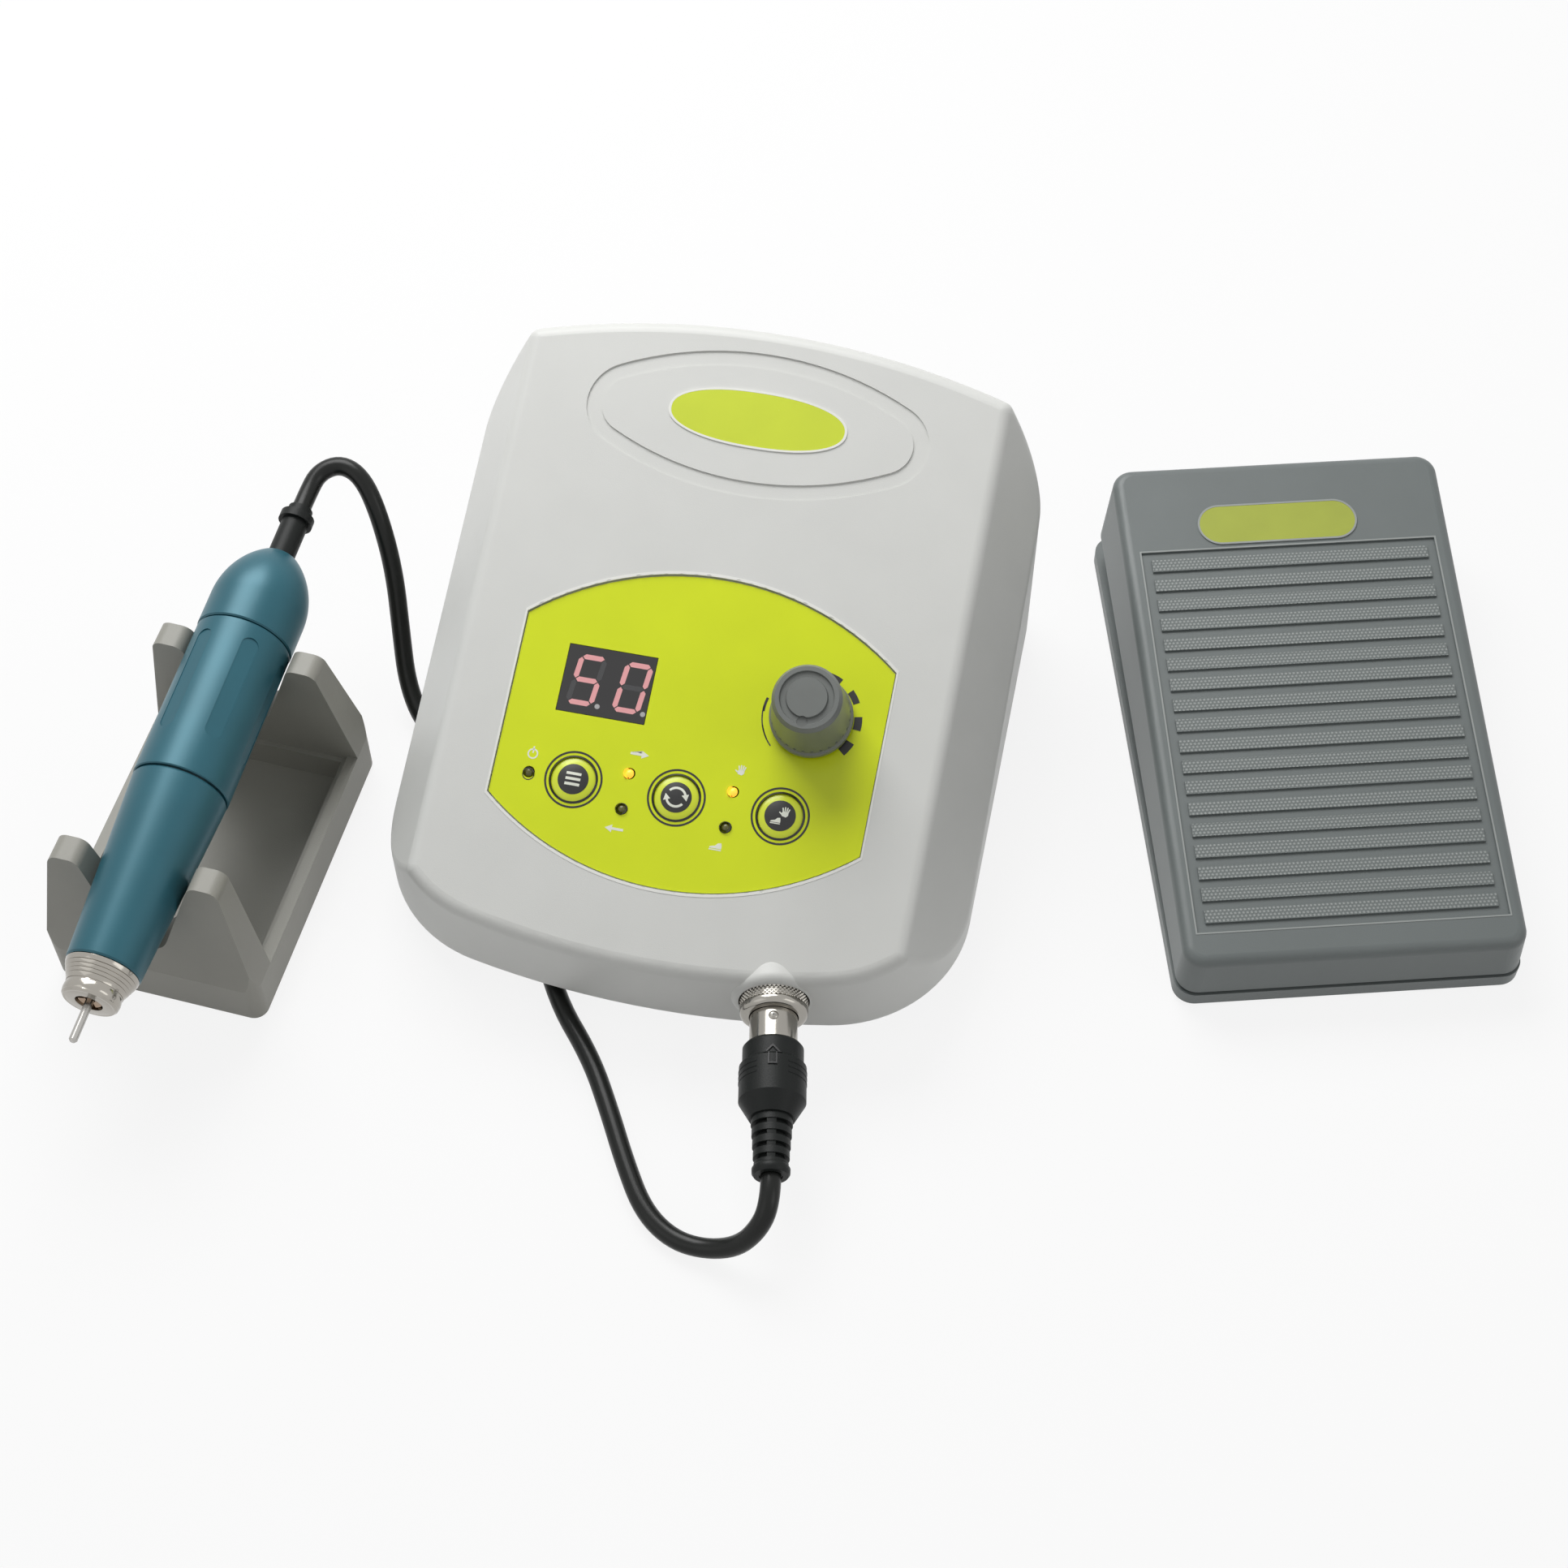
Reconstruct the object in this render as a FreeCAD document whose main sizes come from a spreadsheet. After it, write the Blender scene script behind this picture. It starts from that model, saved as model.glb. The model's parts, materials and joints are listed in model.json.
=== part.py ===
import FreeCAD, Part
import math
import os
import re
import Sketcher
from FreeCAD import Placement, Rotation, Vector

# A bench micromotor for a dental laboratory: a control console, a handpiece lying nose down in its
# rest, the cord between them, and a foot pedal. Millimetres, +Z up. The origin is on the bench, under
# the middle of the whole layout. Layout places are first given from the console's own centre.

SIZES = {
    # layout on the bench
    "layout_x": -35.1, "layout_y": 7.1,
    # console housing
    "panel_tilt": 20.5, "panel_y": -42.1, "panel_z": 48.0,
    "half_front": 83.5, "half_rear": 82.0, "front_y": -87.0, "rear_y": 90.0,
    "front_bow": 260.0, "rear_bow": 260.0, "front_corner": 40.0, "rear_corner": 18.0,
    "seam_z": 26.0, "base_z": 7.5, "housing_wall": 2.5,
    "cover_rise": 75.0, "bevel_in": 69.0, "bevel_out": 82.0, "bevel_drop": 23.0,
    "top_round": 4.0, "base_round": 2.5,
    "ring_v": 110.0, "ring_half": 49.3, "ring_high": 21.5, "ring_end": 13.0,
    "ring_wide": 4.5, "ring_deep": 0.5,
    # fascia and what shows through it
    "fascia_half": 52.4, "fascia_top": 45.3, "fascia_bottom": -7.5, "fascia_bow": 83.0,
    "fascia_deep": 1.3, "fascia_thick": 0.8, "fascia_gap": 0.3,
    "display_u": -26.1, "display_v": 28.4, "display_wide": 25.0, "display_high": 19.3,
    "window_thick": 0.8, "panel_fit": 0.15,
    "button_pitch": 29.1, "button_middle": -0.45, "button_radius": 6.2, "button_dome": 0.9,
    "button_gap": 0.2, "button_travel": 0.5, "stem_radius": 1.8,
    "lamp_radius": 1.5, "lamp_left": -42.2, "lamp_side": 14.6, "lamp_high": 4.4, "lamp_low": -5.75,
    "knob_u": 31.8, "knob_v": 28.7, "knob_radius": 11.6, "knob_top": 9.1, "knob_high": 20.0,
    "knob_gap": 0.8, "knob_bore": 3.0, "knob_ribs": 28,
    "shaft_gap": 0.05, "bush_radius": 3.6, "pot_radius": 8.5, "pot_deep": 9.0,
    "board_depth": 12.0, "switch_side": 6.0, "switch_high": 3.5, "can_radius": 6.0, "can_high": 20.0,
    "board_thick": 1.6, "board_half": 50.0, "board_top": 50.0, "board_low": -10.0,
    # back of the console
    "bay_half": 50.0, "bay_top": 70.0, "bay_rim": 3.0, "bay_y": 77.0, "bay_thick": 2.0, "slot_fit": 0.15,
    "inlet_x": 30.0, "inlet_z": 48.0, "inlet_wide": 27.0, "inlet_high": 19.8, "inlet_deep": 22.0,
    "inlet_lip": 2.0, "inlet_lip_thick": 3.0, "inlet_mouth": 17.0, "inlet_wall": 1.6,
    "rocker_x": -2.0, "rocker_wide": 13.0, "rocker_high": 19.0, "rocker_tilt": 8.0, "rocker_pin": 1.0,
    "fuse_x": -20.0, "fuse_radius": 6.2, "jack_x": -38.0, "jack_radius": 7.5,
    # inside the console
    "transformer_x": 36.0, "transformer_y": 30.0, "core_wide": 57.0, "core_deep": 48.0, "core_high": 38.0,
    "driver_x": -32.0, "driver_y": 22.0, "driver_wide": 56.0, "driver_deep": 80.0, "post_high": 5.0,
    "floor_thick": 2.5, "foot_radius": 8.0, "foot_x": 66.0, "foot_front": -52.0, "foot_rear": 58.0,
    "screw_radius": 1.5, "screw_head": 3.0,
    # handpiece socket and plug
    "socket_x": 36.0, "socket_z": 22.0, "socket_turn": 11.2, "boss_radius": 12.0, "boss_out": 0.5, "boss_round": 2.4,
    "nut_radius": 9.1, "nut_long": 7.4, "nut_start": -2.0, "nut_knurl": 5.0, "nut_gap": 0.25,
    "socket_radius": 7.6, "socket_out": 3.0, "shell_radius": 6.55, "boot_radius": 9.1,
    "boot_start": 14.5, "boot_end": 36.2, "boot_collar": 6.4, "relief_radius": 5.6, "relief_tip": 4.4, "relief_long": 16.2,
    "relief_ribs": 5, "pin_radius": 0.75, "pin_circle": 3.5,
    # cord
    "cord_radius": 2.75, "coil_x": -20.0, "coil_y": 125.5, "coil_mean": 27.5, "coil_step": 6.4,
    "coil_layer_turns": 1.5,
    # handpiece rest
    "rest_x": -132.9, "rest_y": -60.7, "rest_turn": -3.0, "rest_wide": 62.0, "rest_long": 93.0,
    "rest_high": 55.5, "rest_rim": 15.0, "rest_tip": 20.0, "tip_wide": 8.0, "notch_half_angle": 20.0,
    "notch_floor": 25.0, "end_lean": 4.5, "end_thick": 11.0, "tip_thick": 7.5, "tray_floor": 3.0,
    "rim_wide": 3.2, "ledge_wide": 1.5, "ledge_deep": 1.5,
    # handpiece
    "nose_long": 10.0, "grip_end": 66.5, "motor_end": 116.0, "cap_end": 145.5, "flange_at": 158.5,
    "relief_end": 163.5, "nose_lip": 7.8, "nose_rear": 10.1, "grip_front": 10.4, "grip_rear": 13.5,
    "motor_radius": 13.7, "cap_radius": 13.9, "cap_mouth": 5.5, "tube_radius": 3.9, "flange_radius": 5.0,
    "running_gap": 0.06, "spigot_gap": 0.05, "seat_gap": 1.2, "joint_line": 0.3, "rest_foot": 1.0,
    "shank_radius": 1.175, "shank_out": 11.5, "shank_in": 28.0, "collet_radius": 3.2,
    "front_seat": 38.0, "rear_seat": 112.0,
    # foot pedal
    "pedal_x": 190.5, "pedal_y": -37.6, "pedal_turn": 16.0, "pedal_wide": 98.0, "pedal_flare": 2.0,
    "pedal_long": 164.0, "pedal_front": 21.5, "pedal_rear": 42.0, "pedal_draft": 3.0, "pedal_wall": 2.5,
    "plate_low": 1.5, "plate_high": 6.0, "skirt_front": 7.0, "skirt_rear": 15.0,
    "plinth_front": 16.0, "plinth_rim": 5.5, "plinth_wall": 2.0, "plinth_low": 16.0, "plinth_high": 28.0,
    "gland_x": 14.6, "gland_z": 11.1, "gland_neck": 3.6, "magnet_y": 100.0, "magnet_z": 18.0,
    "hinge_y": 9.0, "hinge_z": 11.0, "hinge_pin": 2.0, "tread_wide": 87.2, "tread_long": 122.5, "tread_bars": 18,
    "bar_high": 0.6, "bar_gap": 2.6,
}

X = Vector(1, 0, 0)
Y = Vector(0, 1, 0)
Z = Vector(0, 0, 1)

doc = FreeCAD.newDocument("micromotor")
sheet = doc.addObject("Spreadsheet::Sheet", "Sizes")
for row, (name, amount) in enumerate(SIZES.items(), 1):
    sheet.set(f"A{row}", name)
    sheet.set(f"B{row}", str(amount))
    sheet.setAlias(f"B{row}", name)
doc.recompute()


def linked(formula):
    """A formula with each size in it turned into a reference to the sheet."""
    def cell(word):
        return "Sizes." + word[0] if word[0] in SIZES else word[0]
    return re.sub(r"[a-z]\w*", cell, str(formula))


def number(formula):
    """The present value of a formula."""
    return float(sheet.evalExpression(linked(formula)))


# Drawing helpers

def plane(body, role):
    return next(item for item in body.Origin.OriginFeatures if item.Role == role)


def new_body(label):
    body = doc.addObject("PartDesign::Body", label)
    body.Label = label
    return body


def bind(item, prop, formula):
    item.setExpression(prop, linked(formula))


def arc_between(start, end, radius):
    """The shorter arc from start to end; a positive radius runs counterclockwise."""
    half = (end - start) * 0.5
    across = Vector(-half.y, half.x, 0).normalize()
    rise = math.sqrt(max(radius * radius - half.Length * half.Length, 0))
    centre = start + half + across * math.copysign(rise, radius)
    first, last = (start, end) if radius > 0 else (end, start)
    angles = [math.atan2(p.y - centre.y, p.x - centre.x) for p in (first, last)]
    return Part.ArcOfCircle(Part.Circle(centre, Z, abs(radius)), angles[0], angles[1])


def draw_loop(sketch, corners):
    """A closed outline. A corner is (x, y), or (x, y, radius) where the edge that leaves it is an arc."""
    first = sketch.GeometryCount
    points = [Vector(number(c[0]), number(c[1]), 0) for c in corners]
    starts = []
    for i, corner in enumerate(corners):
        start, end = points[i], points[(i + 1) % len(points)]
        if len(corner) == 2:
            sketch.addGeometry(Part.LineSegment(start, end))
            starts.append((1, 2))
            continue
        radius = number(corner[2])
        index = sketch.addGeometry(arc_between(start, end, radius))
        starts.append((1, 2) if radius > 0 else (2, 1))
        datum(sketch, Sketcher.Constraint("Radius", index, abs(radius)), f"abs({corner[2]})")
    for i, corner in enumerate(corners):
        j = (i + 1) % len(corners)
        sketch.addConstraint(Sketcher.Constraint("Coincident", first + i, starts[i][1], first + j, starts[j][0]))
        for kind, amount, formula in (("DistanceX", points[i].x, corner[0]), ("DistanceY", points[i].y, corner[1])):
            datum(sketch, Sketcher.Constraint(kind, -1, 1, first + i, starts[i][0], amount), formula)


def datum(sketch, constraint, formula):
    index = sketch.addConstraint(constraint)
    if re.search("[a-z]", str(formula)):
        sketch.renameConstraint(index, f"d{index}")
        bind(sketch, f"Constraints.d{index}", formula)


def draw_circle(sketch, x, y, radius):
    centre = Vector(number(x), number(y), 0)
    index = sketch.addGeometry(Part.Circle(centre, Z, number(radius)))
    datum(sketch, Sketcher.Constraint("DistanceX", -1, 1, index, 3, centre.x), x)
    datum(sketch, Sketcher.Constraint("DistanceY", -1, 1, index, 3, centre.y), y)
    datum(sketch, Sketcher.Constraint("Radius", index, number(radius)), radius)


def new_sketch(body, role, loops, lift="0", turn=None, shift=None):
    """A sketch on one of the body's own planes; a loop is a list of corners or a circle (x, y, radius)."""
    sketch = body.newObject("Sketcher::SketchObject", "outline")
    sketch.AttachmentSupport = [(plane(body, role), "")]
    sketch.MapMode = "FlatFace"
    if turn:
        sketch.AttachmentOffset = Placement(Vector(), Rotation(X, number(turn)))
        bind(sketch, "AttachmentOffset.Rotation.Angle", turn)
    if shift:
        bind(sketch, "AttachmentOffset.Base.x", shift[0])
        bind(sketch, "AttachmentOffset.Base.y", shift[1])
    bind(sketch, "AttachmentOffset.Base.z", lift)
    for loop in loops:
        if isinstance(loop, tuple):
            draw_circle(sketch, *loop)
        else:
            draw_loop(sketch, loop)
    doc.recompute()
    return sketch


def panel_sketch(body, loops, inset="0"):
    """A sketch on the sloping control panel, its origin at the middle button."""
    sketch = new_sketch(body, "XY_Plane", loops, turn="panel_tilt")
    bind(sketch, "AttachmentOffset.Base.y", f"panel_y + ({inset}) * sin(panel_tilt)")
    bind(sketch, "AttachmentOffset.Base.z", f"panel_z - ({inset}) * cos(panel_tilt)")
    doc.recompute()
    return sketch


def pad(body, sketch, length, taper=None, both=False, reverse=False):
    item = body.newObject("PartDesign::Pad", "pad")
    item.Profile = sketch
    bind(item, "Length", length)
    if taper:
        bind(item, "TaperAngle", taper)
    item.SideType = "Symmetric" if both else "One side"
    item.Reversed = reverse
    doc.recompute()
    return item


def pocket(body, sketch, depth=None, both=False, reverse=False):
    """A pocket of a depth, or through all; a pocket that takes nothing away is an error."""
    before = body.Shape.Volume
    item = body.newObject("PartDesign::Pocket", "pocket")
    item.Profile = sketch
    item.SideType = "Symmetric" if both else "One side"
    item.Reversed = reverse
    if depth:
        bind(item, "Length", depth)
    else:
        item.Type = "ThroughAll"
    doc.recompute()
    if body.Shape.Volume > before - 0.001:
        raise RuntimeError(f"a pocket in {body.Label} takes nothing away")
    return item


def spin(body, corners, cut=False, loops=None):
    """A turned form about the body's Z axis from corners of radius and height."""
    before = body.Shape.Volume if cut else 0
    sketch = new_sketch(body, "XZ_Plane", loops or [corners])
    item = body.newObject("PartDesign::Groove" if cut else "PartDesign::Revolution", "turned")
    item.Profile = sketch
    item.ReferenceAxis = (sketch, ["V_Axis"])
    item.Angle = 360
    doc.recompute()
    if cut and body.Shape.Volume > before - 0.001:
        raise RuntimeError(f"a groove in {body.Label} takes nothing away")
    return item


def polar(body, feature, count):
    item = body.newObject("PartDesign::PolarPattern", "round")
    item.Originals = [feature]
    item.Axis = (plane(body, "Z_Axis"), [""])
    item.Angle = 360
    bind(item, "Occurrences", count)
    body.Tip = item
    doc.recompute()
    return item


def linear(body, feature, role, length, count):
    item = body.newObject("PartDesign::LinearPattern", "row")
    item.Originals = [feature]
    item.Direction = (plane(body, role), [""])
    bind(item, "Length", length)
    bind(item, "Occurrences", count)
    body.Tip = item
    doc.recompute()
    return item


def edge_names(shape, wanted):
    return [f"Edge{i}" for i, edge in enumerate(shape.Edges, 1) if wanted(edge)]


def round_edges(body, radius, wanted, kind="Fillet"):
    """A fillet or chamfer on the edges that the test picks."""
    tip = body.Tip
    names = edge_names(tip.Shape, wanted)
    if not names:
        raise RuntimeError(f"no edge to round in {body.Label}")
    item = body.newObject(f"PartDesign::{kind}", "edge")
    item.Base = (tip, names)
    bind(item, "Radius" if kind == "Fillet" else "Size", radius)
    doc.recompute()
    return item


def middle(edge):
    return edge.valueAt((edge.FirstParameter + edge.LastParameter) / 2)


def upright(edge, slack=0.2):
    """An edge that runs mainly along Z."""
    ends = [v.Point for v in edge.Vertexes]
    return len(ends) == 2 and abs(ends[0].z - ends[1].z) > (1 - slack) * edge.Length


def level_at(z):
    height = number(z)
    return lambda edge: all(abs(v.Point.z - height) < 1e-4 for v in edge.Vertexes) and \
        abs(middle(edge).z - height) < 1e-4


def place(item, centre, turn=None):
    """A piece's own placement, with its centre given by formulas."""
    if turn:
        item.Placement = Placement(Vector(), turn)
    for axis, formula in zip("xyz", centre):
        bind(item, f"Placement.Base.{axis}", formula)
    return item


def block(label, sides, corner, turn=None):
    item = doc.addObject("Part::Box", label)
    for prop, formula in zip(("Length", "Width", "Height"), sides):
        bind(item, prop, formula)
    return place(item, corner, turn)


def rod(label, radius, height, foot, turn=None):
    item = doc.addObject("Part::Cylinder", label)
    bind(item, "Radius", radius)
    bind(item, "Height", height)
    return place(item, foot, turn)


def join(label, *pieces):
    item = doc.addObject("Part::MultiFuse", label)
    item.Shapes = list(pieces)
    doc.recompute()
    return item


def cut(label, base, *tools):
    tool = tools[0] if len(tools) == 1 else join(label + "_tool", *tools)
    item = doc.addObject("Part::Cut", label)
    item.Base = base
    item.Tool = tool
    doc.recompute()
    return item


def overlap(label, *pieces):
    item = doc.addObject("Part::MultiCommon", label)
    item.Shapes = list(pieces)
    doc.recompute()
    return item


def group(label, shapes):
    """Identical pieces kept together as separate solids."""
    item = doc.addObject("Part::Feature", label)
    item.Shape = Part.makeCompound(shapes)
    return item


NODES = []


def keep(item, label, frame):
    """Marks a sub-part as finished, named and placed."""
    item.Label = label
    item.Placement = frame
    NODES.append(item)
    return item


# Frames of the layout

CONSOLE = Placement(Vector(number("layout_x"), number("layout_y"), 0), Rotation())
PANEL = CONSOLE * Placement(Vector(0, number("panel_y"), number("panel_z")), Rotation(X, number("panel_tilt")))
SOCKET_Y = number("front_y + front_bow - sqrt(front_bow ^ 2 - socket_x ^ 2)")
SOCKET = CONSOLE * Placement(
    Vector(number("socket_x"), SOCKET_Y, number("socket_z")), Rotation(Z, number("socket_turn")) * Rotation(X, 90)
)
REST = CONSOLE * Placement(Vector(number("rest_x"), number("rest_y"), 0), Rotation(Z, number("rest_turn")))
PEDAL = CONSOLE * Placement(
    Vector(number("pedal_x"), number("pedal_y"), 0), Rotation(Z, number("pedal_turn"))
)
BACK = CONSOLE * Placement(Vector(0, number("bay_y"), number("inlet_z")), Rotation(Z, 180) * Rotation(X, 90))


# Console housing

def plan_corners(inset):
    """The console's outline in plan before its corners are rounded."""
    front = f"(half_front - {inset})"
    rear = f"(half_rear - {inset})"
    front_bow = f"(front_bow - {inset})"
    rear_bow = f"(rear_bow - {inset})"
    front_corner = f"front_y + front_bow - sqrt({front_bow} ^ 2 - {front} ^ 2)"
    rear_corner = f"rear_y - rear_bow + sqrt({rear_bow} ^ 2 - {rear} ^ 2)"
    return [
        (f"-{front}", front_corner, front_bow),
        (front, front_corner),
        (rear, rear_corner, rear_bow),
        (f"-{rear}", rear_corner),
    ]


def round_plan(body, inset):
    """Rounds the upright corners of a housing form, wide ones in front and small ones behind."""
    round_edges(body, f"front_corner - {inset}", lambda edge: upright(edge) and middle(edge).y < 0)
    round_edges(body, f"rear_corner - {inset}", lambda edge: upright(edge) and middle(edge).y > 0)


def bevel_loop(inset, side):
    """The wedge that a side bevel takes off, in the plane square to the panel's slope."""
    run = "(bevel_out - bevel_in) / bevel_drop"
    above = 10
    below = 60
    shift = f"{inset} * sqrt(1 + ({run}) ^ 2)"
    high = f"bevel_in + {above} * -1 * {run} - {shift}"
    low = f"bevel_in + {below} * {run} - {shift}"
    corners = [(high, above), (low, -below), ("half_rear * 2", -below), ("half_rear * 2", above)]
    return [(f"{side} * ({x})", y) for x, y in corners]


def cut_bevels(body, inset):
    """Takes the flat bevel off both sides of a housing form."""
    bevels = new_sketch(body, "XZ_Plane", [bevel_loop(inset, 1), bevel_loop(inset, -1)], lift="-panel_y",
                        turn="panel_tilt", shift=("0", "panel_z"))
    pocket(body, bevels, both=True)


def cover_form(label, inset):
    """The cover's form as a solid, drawn in by an inset: the plan cut by the sloping top and by the two
    flat bevels beside it."""
    body = new_body(label)
    pad(body, new_sketch(body, "XY_Plane", [plan_corners(inset)], lift="seam_z"), "cover_rise")
    round_plan(body, inset)
    reach = 160
    pocket(body, panel_sketch(body, [[(-reach, -reach), (reach, -reach), (reach, reach), (-reach, reach)]], inset),
           reverse=True)
    cut_bevels(body, inset)
    return body


def on_top(edge):
    """An edge that lies in the sloping top."""
    tilt = math.radians(number("panel_tilt"))
    high = [
        (point.z - number("panel_z")) * math.cos(tilt) - (point.y - number("panel_y")) * math.sin(tilt)
        for point in [middle(edge)] + [v.Point for v in edge.Vertexes]
    ]
    return all(abs(h) < 1e-3 for h in high)


def beside_bevel(edge):
    """An edge where a bevel meets the walls."""
    if level_at("seam_z")(edge):
        return False
    ends = [v.Point for v in edge.Vertexes]
    tilt = math.radians(number("panel_tilt"))
    high = [
        (point.z - number("panel_z")) * math.cos(tilt) - (point.y - number("panel_y")) * math.sin(tilt)
        for point in ends
    ]
    run = (number("bevel_out") - number("bevel_in")) / number("bevel_drop")
    return all(abs(abs(p.x) - number("bevel_in") + h * run) < 1e-3 for h, p in zip(high, ends))


def fascia_loop(inset="0"):
    """The barrel-shaped fascia: straight sides between two bowed ends."""
    side = f"(fascia_half - {inset})"
    return [(f"-{side}", f"fascia_bottom + {inset}", f"fascia_bow - {inset}"), (side, f"fascia_bottom + {inset}"),
            (side, f"fascia_top - {inset}", f"fascia_bow - {inset}"), (f"-{side}", f"fascia_top - {inset}")]


def rectangle(x0, y0, x1, y1):
    return [(x0, y0), (x1, y0), (x1, y1), (x0, y1)]


def centred(x, y, wide, high):
    return rectangle(f"{x} - {wide} / 2", f"{y} - {high} / 2", f"{x} + {wide} / 2", f"{y} + {high} / 2")


def oval(wide, high, end, y):
    """An oval of four tangent arcs, half as wide and high as given, with small end arcs."""
    flat = f"((({wide} - {end}) ^ 2 + {high} ^ 2 - {end} ^ 2) / (2 * ({high} - {end})))"
    x = f"({flat} * ({wide} - {end}) / ({flat} - {end}))"
    rise = f"({flat} * ({flat} - {high}) / ({flat} - {end}) - ({flat} - {high}))"
    return [(f"-{x}", f"{y} - {rise}", flat), (x, f"{y} - {rise}", end),
            (x, f"{y} + {rise}", flat), (f"-{x}", f"{y} + {rise}", end)]


def button_places():
    return [(f"button_middle + {i} * button_pitch", "0") for i in (-1, 0, 1)]


def lamp_places():
    """One lamp beside the first button and a pair on each side of the middle one."""
    pairs = [(f"{side} * lamp_side", high) for side in (-1, 1) for high in ("lamp_high", "lamp_low")]
    return [("lamp_left", "0")] + pairs


def panel_holes(button, lamp, shaft, window):
    """The openings that the cover and the fascia share, each with its own clearance."""
    holes = [(x, y, button) for x, y in button_places()]
    holes += [(x, y, lamp) for x, y in lamp_places()]
    holes.append(("knob_u", "knob_v", shaft))
    holes.append(centred("display_u", "display_v", f"(display_wide + {window})", f"(display_high + {window})"))
    return holes


def corner_posts(label, radius, low, high):
    """Four upright posts over the feet."""
    spots = [(f"{side} * foot_x", depth) for side in (-1, 1) for depth in ("foot_front", "foot_rear")]
    rods = [rod(f"{label}_{i}", radius, f"({high}) - ({low})", (x, y, low)) for i, (x, y) in enumerate(spots)]
    return rods


def boss_form(label):
    """The domed boss round the socket, turned about the socket's axis."""
    body = new_body(label)
    spin(body, [("0", "nut_start - 4"), ("boss_radius", "nut_start - 4"), ("boss_radius", "boss_out - boss_round", "boss_round"),
                ("boss_radius - boss_round", "boss_out"), ("0", "boss_out")])
    body.Placement = CONSOLE.inverse() * SOCKET
    return body


def socket_bore(label):
    """The round way through the front wall, along the socket's axis."""
    item = rod(label, "socket_radius + panel_fit", "30", ("0", "0", "0"))
    item.setExpression("Placement.Base.x", None)
    item.setExpression("Placement.Base.y", None)
    item.setExpression("Placement.Base.z", None)
    item.Placement = CONSOLE.inverse() * SOCKET * Placement(Vector(0, 0, -15), Rotation())
    return item


def nut_recess(label):
    item = doc.addObject("Part::Cylinder", label)
    bind(item, "Radius", "nut_radius + 2 * nut_gap + panel_fit")
    item.Height = 15
    item.Placement = CONSOLE.inverse() * SOCKET * Placement(Vector(0, 0, number("nut_start - nut_gap")), Rotation())
    return item


def build_cover():
    outer = cover_form("cover_outer", "0")
    round_edges(outer, "top_round", lambda edge: on_top(edge) or beside_bevel(edge))
    recess = panel_sketch(outer, [fascia_loop()])
    pocket(outer, recess, "fascia_deep")
    ring = panel_sketch(outer, [oval("ring_half", "ring_high", "ring_end", "ring_v"),
                                oval("(ring_half - ring_wide)", "(ring_high - ring_wide)", "(ring_end - ring_wide)", "ring_v")])
    pocket(outer, ring, "ring_deep")
    core = cover_form("cover_core", "housing_wall")
    posts = corner_posts("cover_post", "2 * screw_radius + 1", "seam_z - 1", "cover_rise + seam_z")
    frame = block("bay_frame", ("2 * (bay_half + bay_rim)", "rear_y - bay_y + 2 * bay_thick", "bay_top + bay_rim - seam_z"),
                  ("-bay_half - bay_rim", "bay_y - 2 * bay_thick", "seam_z"))
    above = block("above_seam", ("400", "400", "100"), ("-200", "-200", "seam_z"))
    boss = overlap("cover_boss", boss_form("cover_boss_form"), above)
    hollow = cut("cover_hollow", core, *posts, frame, boss)
    shell = cut("cover_shell", join("cover_solid", outer, boss), hollow)
    bay = block("bay_window", ("2 * bay_half", "40", "bay_top"), ("-bay_half", "bay_y - 20", "0"))
    slot = block("bay_slot", ("2 * (bay_half + bay_rim - 1 + slot_fit)", "bay_thick + 2 * slot_fit", "bay_top + bay_rim - 1 + slot_fit"),
                 ("-bay_half - bay_rim + 1 - slot_fit", "bay_y - bay_thick - slot_fit", "0"))
    holes = new_body("cover_holes")
    loops = panel_holes("button_radius + button_gap", "lamp_radius + panel_fit", "bush_radius + panel_fit", "2 * panel_fit")
    pad(holes, panel_sketch(holes, loops), "30", both=True)
    screws = join("cover_screw_holes", *corner_posts("cover_screw_hole", "screw_radius", "seam_z - 1", "seam_z + 10"))
    cover = cut("console_cover", shell, bay, slot, holes, screws, nut_recess("cover_nut_recess"), socket_bore("cover_socket_bore"))
    return keep(cover, "console_cover", CONSOLE)


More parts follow.
